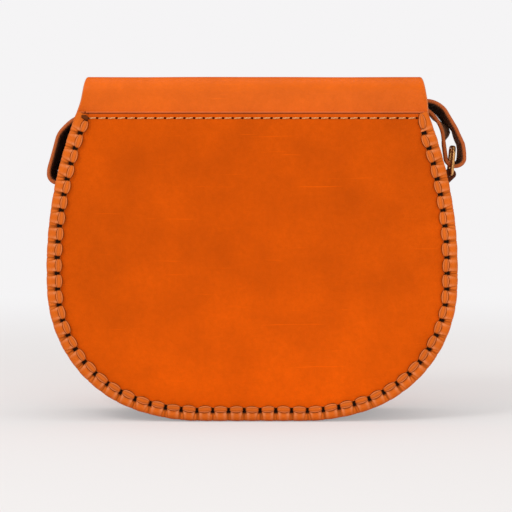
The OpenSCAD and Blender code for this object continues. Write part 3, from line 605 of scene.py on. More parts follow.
class BAG_OT_gusset(bpy.types.Operator):
    """Builds the gusset, a strip with its two edges turned out"""

    bl_idname = "bag.gusset"
    bl_label = "Gusset"

    def execute(self, context):
        b = context.scene.bag_sizes
        rim = Rim(b)
        y1, t, wall = b.depth / 2 - b.panel_t, b.gusset_t, b.gusset_inset
        # Where the turned edges end inside the rim, the bend's radius and the steps along the strip
        lip, bend, n = 1.9, 2.0, 220
        right = [(lip, y1 - t + 0.2), (lip, y1 - 0.2), (lip + 0.3, y1), (wall + t * 0.6, y1),
                 (wall + t, y1 - 0.7 * t), (wall + t, y1 * 0.5), (wall + t, 0.0)]
        outer = [(wall, 0.0), (wall, y1 * 0.5), (wall, y1 - t - bend), (wall - 0.6, y1 - t - 0.6),
                 (wall - bend, y1 - t), (lip + 0.3, y1 - t)]
        section = right + [(inset, -y) for inset, y in reversed(right[:-1])]
        section += [(inset, -y) for inset, y in reversed(outer[1:])] + outer
        end = rim.length_to(b.gusset_top)
        rings, dark, pale = [], [], []
        for k in range(n + 1):
            ring = []
            for inset, y in section:
                x, z, _ = rim.at(end * (2 * k / n - 1), inset)
                ring.append((x, y, z))
                # Painted shade on the wall's faces beside the panels, fading out over 9 mm
                dark.append(0.25 * smooth((abs(y) - y1 + 9) / 9) if inset <= wall + 0.1 else 0.0)
                pale.append(0.35 if k in (0, n) else 0.0)
            rings.append(ring)
        obj = skin("gusset_hide", rings, marks={"dark": dark, "pale": pale})
        dress(obj, hide_finish("dark"), "bag", "dark_leather", "gusset", "gusset_back_flange",
              "gusset_front_flange")
        return {"FINISHED"}


# binding and lacing


# The folded binding: its thickness on a panel's face, its whole depth, and distances from the rim across it,
# which are its bead's, its leg's start and the hole line
BINDING_T, BINDING_DEPTH = 1.5, 8.0
BEAD, LEG_START, HOLE_LINE = 3.8, 4.4, 7.0
# The step along the binding, and how far its ends stand above the panels' tops
BINDING_STEP, BINDING_UP = 0.42, 1.3


def binding_section(leg, o, i):
    """The outer line of the folded binding from leg end to leg end, then back along its inner side.
    Each point is (inset, depth, reach), where reach runs from 0 at the hole line to 1 on the rim's edge."""
    mid, half = (o + i) / 2, (o - i) / 2
    legs = [leg, leg - 0.2, leg - 0.6]
    legs += [LEG_START + (leg - 1.0 - LEG_START) * k / 6 for k in range(6, -1, -1)]
    outer = []
    for v, lift in zip(legs, [-0.55, -0.12] + [0.0] * 8):
        groove = -0.25 * bell(v - HOLE_LINE, 1.6)
        outer.append((v, o + lift + groove, max(0.0, (HOLE_LINE - v) / HOLE_LINE)))
    bead = []
    for k in range(17):
        a = math.radians(90 - 180 * k / 16)
        bead.append((BEAD - BEAD * max(0.0, math.cos(a)) ** 0.8, mid + (half + 0.25) * math.sin(a),
                     0.46 + 0.54 * math.cos(a)))
    back = [(v, mid - (d - mid), q) for v, d, q in reversed(outer)]
    t = BINDING_T
    return outer + bead + back, [(leg, i + t, 0.0), (t, i + t, 1.0), (t, o - t, 1.0), (leg, o - t, 0.0)]


class BAG_OT_bindings(bpy.types.Operator):
    """Builds the binding folded over each rim, puckered where the lace pulls it"""

    bl_idname = "bag.bindings"
    bl_label = "Bindings"

    def execute(self, context):
        b, l = context.scene.bag_sizes, context.scene.bag_lace
        for facing, top, node in ((-1, b.back_top, "back_binding"), (1, b.front_top, "front_binding")):
            obj = self.binding(b, l, facing, top + BINDING_UP, node + "_hide")
            dress(obj, hide_finish("rim"), "bag", "rim_leather", node)
        return {"FINISHED"}

    def binding(self, b, l, facing, top, name):
        rim = Rim(b)
        rng = random.Random(7 + facing)
        o = b.depth / 2 + BINDING_T
        i = o - BINDING_DEPTH
        mid = (o + i) / 2
        spots = [rim.hole((k - (l.holes - 1) / 2) * l.pitch, l.inset) for k in range(l.holes)]
        # Each crease: its hole, how far from it the crease starts and ends on the edge, its depth and width
        creases = []
        for spot in spots:
            for side in (-1, 1):
                creases.append((spot, side * rng.uniform(0.4, 0.9), side * rng.uniform(1.0, 3.0),
                                rng.uniform(0.3, 0.8), rng.uniform(0.3, 0.5)))
            creases.append((spot, rng.uniform(-0.3, 0.3), rng.uniform(-0.7, 0.7), rng.uniform(0.8, 1.3),
                            rng.uniform(0.38, 0.55)))
        end = rim.length_to(top)
        n = round(2 * end / BINDING_STEP)
        rings, dark, pale = [], [], []
        for k in range(n + 1):
            s = end * (2 * k / n - 1)
            leg = l.leg + (l.leg_end - l.leg) * smooth((rim.at(s, 0)[1] - b.gusset_top - 0.5) / 4.0)
            outer, inside = binding_section(leg, o, i)
            near = [c for c in creases if abs(c[0] - s) < 7]
            span = min(abs(spot - s) for spot in spots)
            pillow = 0.25 + 0.22 * smooth(span / (l.pitch / 2)) if span < l.pitch else 0.3
            ring = []
            for inset, depth, q in outer:
                on_leg = inset >= LEG_START
                reach = smooth((q + 0.02) / 0.3) * (1 - 0.55 * smooth((q - 0.55) / 0.45))
                dip = 0.0
                for hole, low, high, deep, wide in near:
                    gap = abs(s - hole - low - (high - low) * q)
                    if gap < 2.2:
                        dip += deep * reach * bell(gap, wide)
                near_hole = 0.0
                if inset > LEG_START:
                    off = abs(inset - l.inset + 0.3) / 1.8
                    near_hole = smooth((1.15 - max(span / 1.25, off)) / 0.35)
                swell = pillow * (0.15 + 0.85 * q) * (1 - 0.45 * q)
                swell += 0.1 * wander(s, depth, inset, 3.2) + 0.1 * wander(s, inset, depth, 9)
                move = swell - l.pucker * dip - 0.9 * near_hole
                # The surface moves off the face on the legs, and out of the rim on the bead
                a = 0.0 if on_leg else smooth(1 - abs(depth - mid) / (BINDING_DEPTH / 2))
                x, z, _ = rim.at(s, inset - (move - 0.4) * a)
                away = move if depth > mid else -move
                ring.append((x, facing * (depth + away * (1 - a) * (0.85 if on_leg else 1.0)), z))
                # Painted shade at the holes and in the creases, a dark line along each leg's edge, and a
                # painted highlight beside each hole
                line = 0.35 if inset >= leg - 0.05 else 0.0
                crease = 0.55 * smooth(dip / 0.9) * (1 - 0.45 * smooth((q - 0.3) / 0.5))
                dark.append(min(1.0, max(near_hole, crease, line)))
                pale.append(max(0.0, 0.35 * bell(span - 2.2, 1.0) * (1 if on_leg else 0.5) - 0.5 * dip))
            # Painted shade on the binding's inner side
            for inset, depth, _ in inside:
                x, z, _ = rim.at(s, inset)
                ring.append((x, facing * depth, z))
                dark.append(0.5)
                pale.append(0.0)
            rings.append(ring)
        first = len(rings[0])
        verts = [p for ring in rings for p in ring]
        faces = skin_faces(len(rings), first)[:-2]
        base = (len(rings) - 1) * first
        half = (first - 4) // 2
        # Each end is closed between the outer line and the four inner corners
        a, c, d, e = range(first - 4, first)
        caps = [tuple(range(0, 11)) + (d, e), tuple(range(10, half + 1)) + (d,), (half, c, d),
                tuple(range(half, first - 14)) + (c,), tuple(range(first - 15, first - 4)) + (a, c)]
        faces += caps + [tuple(base + j for j in reversed(cap)) for cap in caps]
        return make(name, verts, faces, {"dark": dark, "pale": pale}, angle=60)


# The lace's section, as shares of its half width and its thickness
ACROSS = ((-1.0, 0.0), (-0.93, 0.42), (-0.78, 0.72), (-0.6, 0.86), (-0.46, 0.8), (-0.3, 0.94), (0.0, 1.0),
          (0.3, 0.94), (0.46, 0.8), (0.6, 0.86), (0.78, 0.72), (0.93, 0.42), (1.0, 0.0), (0.5, -0.5),
          (-0.5, -0.5))


def oval(frame_at, length, width, thick, rng, verts, faces, marks, rows=19, tip=False):
    """One span of lace: a flat oval that dives into a hole at each end. frame_at(u, v, w) gives a point.
    A tip lies free at its far end."""
    base = len(verts)
    wobble = rng.uniform(-0.15, 0.15)
    fold = rng.uniform(-0.25, 0.25)
    for k in range(rows):
        u = -1 + 2 * k / (rows - 1)
        w = width / 2 * max(0.22, (1 - abs(u) ** 2.0) ** 0.62)
        sink = 1.5 * smooth((abs(u) - 0.74) / 0.24)
        dive = smooth((abs(u) - 0.76) / 0.08)
        if tip and u > 0:
            w = width / 2 * max(0.05, (1 - u ** 1.6) ** 0.75)
            sink = dive = 0.0
        high = thick * (0.7 + 0.3 * (1 - u * u)) - sink
        for across, up in ACROSS:
            ridge = 0.1 * bell(across - 0.7 * u - fold, 0.25) if up > 0.6 else 0.0
            verts.append(frame_at(u * length / 2, w * across + wobble * (1 - u * u),
                                  high + thick * 0.85 * (up - 1 + ridge)))
            # Painted shade along the lace's edges, in its groove and where it dives into a hole; a painted
            # highlight along its upper face
            rim_line = 0.85 * smooth((abs(across) - 0.84) / 0.08)
            groove = 0.4 * bell(abs(across) - 0.46, 0.09)
            marks["dark"].append(min(0.95, max(rim_line, groove, dive)))
            marks["pale"].append(0.22 * bell(abs(across) - 0.68, 0.12) if up > 0.5 else 0.0)
    faces += skin_faces(rows, len(ACROSS), base=base)


# The lace's thickness and its distance from the binding
LACE_T, LACE_OFF = 0.75, 0.15
# The middles of the lace's cut tip and of its knot, across and up, and the tip's angle
LACE_TIP, LACE_TIP_ANGLE = (101.6, 180.6), math.radians(99)
LACE_KNOT = (-99.9, 183.1)


class BAG_OT_lacing(bpy.types.Operator):
    """Builds the flat lace in and out of the holes of both rims, with its knot and tip"""

    bl_idname = "bag.lacing"
    bl_label = "Lacing"

    def execute(self, context):
        b, l = context.scene.bag_sizes, context.scene.bag_lace
        rim = Rim(b)
        for facing, name, node in ((-1, "back_lace", "back_lacing"), (1, "front_lace", "front_lacing")):
            rng = random.Random(31 + facing)
            verts, faces, marks = [], [], {"dark": [], "pale": []}
            o = b.depth / 2 + BINDING_T
            for depth, way in ((o + LACE_OFF, 1), (o - BINDING_DEPTH - LACE_OFF, -1)):
                for k in range(-1, l.holes):
                    mid = (k + 0.5 - (l.holes - 1) / 2) * l.pitch
                    outermost = k in (-1, l.holes - 1)
                    if outermost and way < 0 or k == l.holes - 1 and facing < 0:
                        continue
                    lean = rng.uniform(-0.06, 0.06)
                    shift = rng.uniform(-0.15, 0.15)

                    def at(u, v, w, mid=mid, lean=lean, shift=shift, depth=depth, way=way):
                        p = rim.at(rim.hole(mid + u, l.inset), l.inset + 0.7 + shift - v - lean * u)
                        return (p[0], facing * (depth + way * w), p[1])

                    length = l.lace_l * (0.92 if outermost else 1.0) * rng.uniform(0.97, 1.03)
                    oval(at, length, l.lace_w * rng.uniform(0.93, 1.07), LACE_T, rng, verts, faces, marks)
            if facing < 0:
                self.ends(b, rng, verts, faces, marks)
            obj = make(name, verts, faces, marks, angle=60)
            dress(obj, hide_finish("lace"), "bag", "lace_leather", node)
        return {"FINISHED"}

    def ends(self, b, rng, verts, faces, marks):
        """The lace's cut tip at the right end of the row and its dark knot at the left end."""
        y0 = -(b.depth / 2 + BINDING_T + 0.25)
        (x, z), ca, sa = LACE_TIP, math.cos(LACE_TIP_ANGLE), math.sin(LACE_TIP_ANGLE)
        oval(lambda u, v, w: (x + u * ca - v * sa, y0 - w, z + u * sa + v * ca), 10.4, 4.9, 0.85, rng,
             verts, faces, marks, tip=True)
        first = len(verts)
        left, up = LACE_KNOT
        oval(lambda u, v, w: (left + u, y0 - w, up + v - 0.25 * u), 5.2, 2.9, 1.1, rng, verts, faces, marks)
        marks["dark"][first:] = [max(0.82, d) for d in marks["dark"][first:]]
        marks["pale"][first:] = [0.0] * (len(verts) - first)


# flap


# How far the flap sits to the right of the bag's middle, and the points across it
FLAP_SHIFT, FLAP_COLS = 1.2, 40
# Heights of the flap's inner end, its crest and its lowest edge
FLAP_ROOT, FLAP_TOP, FLAP_FOOT = 176.6, 207.2, 32.0
# Radii of the hinge's bend and the front bend, and the slope between them in degrees
HINGE_R, FRONT_R, SLOPE = 8.6, 9.0, 8.5
# Half the flap's width over the bag, and how much wider it is at the seam
FLAP_HALF, FLAP_FLARE = 97, 8.5
# The hanging front's outline: radius and angle of its lower edge and its corners, and radius of its sides
EDGE_R, EDGE_TURN, CORNER_R, CORNER_TURN, FLAP_SIDE_R = 190, 22, 58, 65, 300
# Steps round a cut edge, and how far it bulges as a share of half the thickness
EDGE_STEPS, EDGE_BULGE = 5, 0.75


class Flap:
    """The flap's middle line, from its root behind the back panel over the top and down the front."""

    def __init__(self, b):
        mid = b.depth / 2
        s = math.radians(SLOPE)
        self.y0 = mid - b.panel_t - b.flap_t / 2
        # In front it hangs clear of the binding and of the lace on it
        self.y1 = mid + BINDING_T + 1.0 + 0.3 + 0.4 + b.flap_t / 2
        self.low = FLAP_TOP - b.flap_t / 2 - HINGE_R
        run = self.y1 - FRONT_R * (1 - math.sin(s)) + self.y0 - HINGE_R * (1 + math.sin(s))
        self.half_run = run / math.cos(s) / 2
        self.front_z = self.low + HINGE_R * math.cos(s) - run * math.tan(s) - FRONT_R * math.cos(s)
        self.seam = b.back_top - SEAM_DOWN
        self.waist = self.low - self.seam + HINGE_R * math.radians(90 + SLOPE) + self.half_run

    def width(self, run):
        far = max(0.0, 1 - run / self.waist)
        return FLAP_HALF + FLAP_FLARE * far ** 1.5


def flap_front_half(z):
    """Half the hanging front's width at a height on its sides."""
    a, c = math.radians(EDGE_TURN), math.radians(EDGE_TURN + CORNER_TURN)
    cx = (EDGE_R - CORNER_R) * math.sin(a) + (CORNER_R - FLAP_SIDE_R) * math.sin(c)
    cz = FLAP_FOOT + EDGE_R + (CORNER_R - EDGE_R) * math.cos(a) + (FLAP_SIDE_R - CORNER_R) * math.cos(c)
    return cx + math.sqrt(FLAP_SIDE_R ** 2 - (z - cz) ** 2)


def slab_ring(points, normal, t, squeeze=1.0):
    """A ring round a row of points: its upper side, a round edge, its lower side and the other edge."""
    h = t / 2 * squeeze

    def edge(last, before):
        out = (last - before).normalized()
        turns = [math.radians(180 * j / EDGE_STEPS) for j in range(1, EDGE_STEPS)]
        return [last + out * (h * EDGE_BULGE * math.sin(a)) + normal * (h * math.cos(a)) for a in turns]

    ring = [p + normal * h for p in points] + edge(points[-1], points[-2])
    return ring + [p - normal * h for p in reversed(points)] + edge(points[0], points[1])[::-1]


class BAG_OT_flap(bpy.types.Operator):
    """Builds the flap as two hides, shaped round a bend at the hinge line and round the front fold"""

    bl_idname = "bag.flap"
    bl_label = "Flap"

    def execute(self, context):
        b = context.scene.bag_sizes
        f = Flap(b)
        # Small steps where the panel's top edge shows under the flap, larger ones elsewhere
        path = trail((-f.y0, FLAP_ROOT, 90), [(b.back_top - 0.6 - FLAP_ROOT, 0), (2.0, 0)], 6, 0.3)
        path = [p for k, p in enumerate(path) if p[1] > b.back_top - 0.7 or k % 6 == 0]
        rest = [(0.12, 0), (f.low - b.back_top - 1.22, 0), (HINGE_R, -(90 + SLOPE)), (f.half_run, 0)]
        path += trail(path[-1], rest, 6, 2.2)[1:]

        def back(run, z):
            if z < b.back_top + BINDING_UP and run < 12:
                return min(f.width(run), Rim(b).side(z, 0.6)[0])
            return f.width(run)

        rows = self.rows(path, FLAP_ROOT - f.seam, back)
        self.piece("flap_back_hide", rows, b.flap_t, False, "bag", "flap_top", placed(0, -32.2, 188.5),
                   placed(0, -32.2, 195.5), ["flap_anchor", "flap_top"])
        over = trail(path[-1], [(f.half_run, 0), (FRONT_R, -(90 - SLOPE))], 6, 2.6)
        total = f.half_run + FRONT_R * math.radians(90 - SLOPE)
        end_half = flap_front_half(f.front_z)

        def front(run, _):
            return FLAP_HALF + (end_half - FLAP_HALF) * smooth((run - f.waist) / total)

        rows = self.rows(over, f.waist, front) + self.apron(f)
        self.piece("flap_front_hide", rows, b.flap_t, True, "flap_top", "flap_front", placed(0, 33.5, 199),
                   placed(0, 40.8, 189.5), ["flap_front"])
        return {"FINISHED"}

    def rows(self, path, start, half_at):
        """Rows of points across the flap, each with its normal. half_at(run, z) gives half the width."""
        rows = []
        for p, gone in zip(path, lengths_along(path)):
            run = start + gone
            h = math.radians(p[2])
            normal = Vector((0, -math.sin(h), math.cos(h)))
            half = half_at(run, p[1])
            points = []
            for j in range(FLAP_COLS + 1):
                x = half * (2 * j / FLAP_COLS - 1) + FLAP_SHIFT * smooth(run / 12)
                wave = 0.25 * wander(x, p[0], p[1], 38) * (1 if run > 14 else 0)
                points.append(Vector((x, p[0], p[1])) + normal * wave)
            rows.append((points, normal))
        return rows

    def apron(self, f, n=46):
        """The hanging front: a patch between its two sides, the fold and the lower edge."""
        line = trail((0.0, FLAP_FOOT, 0.0), [(EDGE_R, EDGE_TURN), (CORNER_R, CORNER_TURN)], 2.5, 2.0)
        z_end = line[-1][1]
        heights = [z_end + (f.front_z - z_end) * k / 60 for k in range(1, 61)]
        line = [p[:2] for p in line] + [(flap_front_half(z), z) for z in heights]
        lengths = lengths_along(line)

        def on_line(s):
            for k in range(1, len(line)):
                if lengths[k] >= s:
                    w = (s - lengths[k - 1]) / (lengths[k] - lengths[k - 1])
                    return [line[k - 1][i] + (line[k][i] - line[k - 1][i]) * w for i in (0, 1)]
            return line[-1]

        # The patch's lower corners lie in the middle of the round corners
        corner = EDGE_R * math.radians(EDGE_TURN) + CORNER_R * math.radians(38)
        corner_x, corner_z = on_line(corner)
        rows = []
        for i in range(1, n + 1):
            v = i / n
            side_x, side_z = on_line(lengths[-1] + (corner - lengths[-1]) * v)
            points = []
            for j in range(FLAP_COLS + 1):
                u = 2 * j / FLAP_COLS - 1
                a = abs(u)
                foot_x, foot_z = on_line(corner * a)
                x = v * foot_x + a * (side_x - v * corner_x)
                z = v * foot_z + a * (side_z - v * corner_z) + (1 - a) * (1 - v) * f.front_z
                x = math.copysign(x, u) if u else 0.0
                points.append(Vector((x, f.y1 + 0.3 * wander(x, 11, z, 40), z)))
            rows.append((points, Vector((0, 1, 0))))
        return rows

    def piece(self, name, rows, t, round_end, body_a, body_b, start, end, nodes):
        """One hide of the flap, with its material, in place of the CAD nodes that it stands for."""
        rings = [slab_ring(points, normal, t) for points, normal in rows]
        if round_end:
            points, normal = rows[-1]
            for a in map(math.radians, (25, 50, 72, 86)):
                down = Vector((0, 0, -t / 2 * EDGE_BULGE * math.sin(a)))
                rings.append(slab_ring([p + down for p in points], normal, t, math.cos(a)))
        top_edge = bpy.context.scene.bag_sizes.back_top
        dark, pale = [], []
        for ring in rings:
            for j, p in enumerate(ring):
                edge = FLAP_COLS < j < FLAP_COLS + EDGE_STEPS or j > 2 * FLAP_COLS + EDGE_STEPS
                # Painted shade in a dark line and a painted highlight in a pale one, where the flap comes out
                # from behind the back panel's top
                behind = 1.0 if p.y < 0 and not edge else 0.0
                dark.append(max(0.12 if edge else 0.0, 0.9 * behind * bell(p.z - top_edge + 0.1, 0.3)))
                pale.append(max(0.45 if edge else 0.0, 0.3 * behind * bell(p.z - top_edge - 0.6, 0.25)))
        obj = skin(name, rings, marks={"dark": dark, "pale": pale}, angle=50)
        obj.data.materials.append(hide_finish("flap"))
        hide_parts(*nodes)
        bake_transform(obj)


# Sides of the thread and of a needle hole, and half a hole's width and height
SIDES, HOLE_W, HOLE_H = 8, 0.95, 0.62
# The thread's radius, and how far from the middles of its two holes a stitch ends
THREAD_R, STITCH_SHORT = 0.37, 0.55


class BAG_OT_seam(bpy.types.Operator):
    """Builds the flap's seam: slanting stitches, with painted shade in dark discs at the needle holes"""

    bl_idname = "bag.seam"
    bl_label = "Seam"

    def execute(self, context):
        b, l = context.scene.bag_sizes, context.scene.bag_lace
        rng = random.Random(5)
        z = b.back_top - SEAM_DOWN
        back, inside = -b.depth / 2, -b.depth / 2 + b.panel_t + b.flap_t
        verts, faces, along, hole_shade_v, hole_shade_f = [], [], [], [], []
        around = [2 * math.pi * j / SIDES for j in range(SIDES)]
        for way, y in ((-1, back - 0.05), (1, inside + 0.05)):
            for k in range(l.stitches):
                x0 = (k - l.stitches / 2) * l.stitch
                tilt = 0.3 + rng.uniform(-0.12, 0.12)
                base = len(verts)
                for i in range(SIDES):
                    u = i / (SIDES - 1)
                    x = x0 + STITCH_SHORT + (l.stitch - 2 * STITCH_SHORT) * u
                    h = 0.5 * math.sqrt(max(0.0, 1 - (2 * u - 1) ** 4)) - 0.3
                    r = THREAD_R * (0.7 + 0.3 * (1 - (2 * u - 1) ** 2))
                    for a in around:
                        up = z + tilt * (u - 0.5) + r * math.cos(a)
                        verts.append((x, y + way * (h + r * 0.75 * math.sin(a)), up))
                        along.append((x, a * 0.5, 0.0))
                faces += skin_faces(SIDES, SIDES, base=base)
        # Each needle hole's painted shade, a dark disc: the side it opens to, its place, and its half width
        # and half height
        spots = [(way, y, (k - l.stitches / 2) * l.stitch, z, HOLE_W, HOLE_H)
                 for way, y in ((-1, back - 0.06), (1, inside + 0.06)) for k in range(l.stitches + 1)]
        spots.append((-1, back - 1.62, LACE_KNOT[0], 186.3, 0.42, 0.42))
        spots.append((-1, back - 0.06, -98.3, 185.5, 0.4, 0.4))
        for way, y, x, up, rx, rz in spots:
            base = len(hole_shade_v)
            for d in (0.0, -0.5):
                hole_shade_v += [(x + rx * math.cos(a), y + way * d, up + rz * math.sin(a)) for a in around]
            hole_shade_f += skin_faces(2, SIDES, base=base)
        obj = make("flap_seam_stitches", verts, faces, places={"along": along}, angle=60)
        waxed = thread("Waxed linen thread", context.scene.bag_finishes.thread)
        dress(obj, waxed, "bag", "thread", "flap_seam_thread")
        # The discs are painted almost black as the shade in the holes
        marks = {"dark": [0.95] * len(hole_shade_v), "pale": [0.0] * len(hole_shade_v)}
        holes = make("flap_seam_needle_holes", hole_shade_v, hole_shade_f, marks)
        dress(holes, hide_finish("panel"), "bag", "panel_leather")
        return {"FINISHED"}


# straps and rings


# The radius of the buckle's bar, and the step from one layer of strap to the next
BAR_R, LAYER = 1.3, 2.9
# How far the strap's middle lies inside the rim: the gusset's inset and leather, a gap and half the strap
WALL = 9.5 + 2.2 + 1.7 + 1.2
# Radii of the strap's loop round the bar and of its bend over the crest
LOOP_R, CREST_R = BAR_R + 0.25 + 1.2, 12
# How far the heel of each strap's loop stands from the middle of the bag
HEEL = 4.0


def through_ring(start, crest_z, crest_x, down, bow_r, bow_turn, bend_r):
    """Moves up the wall and over the crest, down beside the bag, through the ring and back up in a bow."""
    h = math.radians(start[2])
    up = crest_z - start[1] - CREST_R * (1 - math.cos(h))
    moves = [(up / math.sin(h), 0), (CREST_R, -start[2])]
    moves += [(crest_x - end_of(start, moves)[0], 0), *down]
    low = end_of(start, moves)
    h1, h2 = math.radians(low[2] + 360), math.radians(low[2] + 360 + bow_turn)
    rise = crest_z - LAYER - low[1] - bow_r * (math.cos(h1) - math.cos(h2)) - bend_r * (math.cos(h2) + 1)
    return moves + [(rise / math.sin(h1), 0), (bow_r, bow_turn), (bend_r, -180 - low[2] - bow_turn), (7.6, 0)]


def s_turn(r, rise):
    """The angle of each half of a double bend that climbs by so much."""
    return math.degrees(math.acos(1 - rise / (2 * r)))


def s_length(r, rise):
    return 2 * r * math.sin(math.radians(s_turn(r, rise)))


def short_route(b):
    """The short strap, mirrored: from the buckle along the bottom, up the left wall and through the ring."""
    bend, lift = 8, 2 * LOOP_R - LAYER
    turn = s_turn(bend, lift)
    start = (HEEL + 3 + s_length(bend, lift) + 8, WALL + LAYER, -180.0)
    low = [(8, 0), (bend, -turn), (bend, turn), (3, 0), (LOOP_R, 180), (b.foot_flat / 2 - HEEL, 0),
           (b.foot_r - WALL, b.foot_turn), (b.corner_r - WALL, 90 + 25 - b.foot_turn)]
    wall = end_of(start, low)
    down = [(26, -45), (3, 0), (14, -30), (16.5, 0), (20, -15), (5.5, -172)]
    up = through_ring(wall, crest_z=185.9, crest_x=95.5, down=down, bow_r=19.5, bow_turn=42, bend_r=18.8)
    return trail(start, low, 6, 4), trail(wall, up, 6, 3)


def long_route(b, rim):
    """The long strap: its tip, through the buckle, to and fro, up the right wall and through the ring."""
    gap, bend, stack_bend, stack_z, across_bars = 22.0, 16, 14, 18, 2 * BAR_R + 2.4
    front_bar = gap - HEEL
    over = WALL + LOOP_R * 2 + LAYER
    billet_turn = s_turn(bend, over - WALL)
    billet_x = front_bar - s_length(bend, over - WALL) - 5
    rest = over - WALL - 2 * LAYER
    rest_turn = s_turn(bend, rest)
    rest_l = billet_x - s_length(bend, rest) + b.foot_flat / 2
    tip_r = b.foot_r - WALL - 2 * LAYER
    tip_turn = math.degrees(16 / tip_r)
    tip = turned((-b.foot_flat / 2, WALL + 2 * LAYER, 180.0), tip_r, -tip_turn)
    start = (tip[0], tip[1], tip[2] - 180)
    stack_turn = s_turn(stack_bend, stack_z - WALL)
    first = 61 - front_bar - across_bars - s_length(stack_bend, stack_z - WALL)
    low = [(tip_r, tip_turn), (rest_l, 0), (bend, rest_turn), (bend, -rest_turn), (5, 0),
           (bend, -billet_turn), (bend, billet_turn), (across_bars, 0),
           (stack_bend, stack_turn), (stack_bend, -stack_turn), (first, 0)]
    low += [(3, 180), (34, 0), (3, -180), (34, 0)] * 4
    end = end_of(start, low)
    climb_x = rim.side(end[1] + 40, WALL)[0] - 40 - 0.5
    low += [(climb_x - end[0], 0), (40, 115)]
    wall = end_of(start, low)
    down = [(13, -60), (10, 0), (40, -30), (4.9, -172)]
    up = through_ring(wall, crest_z=193.5, crest_x=106.6, down=down, bow_r=25, bow_turn=32, bend_r=18)
    return trail(start, low, 8, 4), trail(wall, up, 6, 3)


def strap_section(w, t):
    """Points round the strap's section, with how raw each is: (across, off, flesh, cut)."""
    h, e = t / 2, w / 2
    right = [(e - 1.6, h, 0, 0), (e - 0.7, h, 0, 0.1), (e - 0.2, h - 0.25, 0, 0.6), (e, 0.35, 0.5, 1),
             (e, -0.35, 0.7, 1), (e - 0.2, -h + 0.25, 1, 0.7), (e - 0.7, -h, 1, 0.1), (e - 1.6, -h, 1, 0)]
    under = [(x, -h, 1, 0) for x in (e * 0.5, 0.0, -e * 0.5)]
    left = [(-x, off, flesh, cut) for x, off, flesh, cut in reversed(right)]
    over = [(x, h, 0, 0) for x in (-e * 0.5, 0.0, e * 0.5)]
    return right + under + left + over


def to_line(p, line):
    """The distance from a place to a line of places, in the plane of the straps' routes."""
    least = 1e9
    for a, c in zip(line, line[1:]):
        dx, dz = c[0] - a[0], c[1] - a[1]
        along = max(0.0, min(1.0, ((p[0] - a[0]) * dx + (p[1] - a[1]) * dz) / max(dx * dx + dz * dz, 1e-9)))
        least = min(least, math.hypot(p[0] - a[0] - along * dx, p[1] - a[1] - along * dz))
    return least


# How each strap lies at its ring: the bar's place across and up, the far edge's lean beside the bar in
# widths, the inner layer's turn beside the bar in degrees, the near edge's bulge above and beside the bar,
# and how dark the painted shade on the flesh side is
LEFT_LIE = ((118.1, 149.7), 0.17, 0, 0, 0, 0.94)
RIGHT_LIE = ((123.1, 164.9), 0.15, 3, 0.6, 1.6, 0.8)
# The prong's slot in each strap: its left, right, lower and upper edges, and half its width
SHORT_SLOT, LONG_SLOT = (-7.2, -2.0, 10, 22, 2.1), (1.5, 11.3, 9.2, 25.6, 1.6)
# Widths of the long strap's pointed tip, as shares of its width, from its end on
TIP_TAPER = (0.35, 0.62, 0.82, 0.95, 1.0)


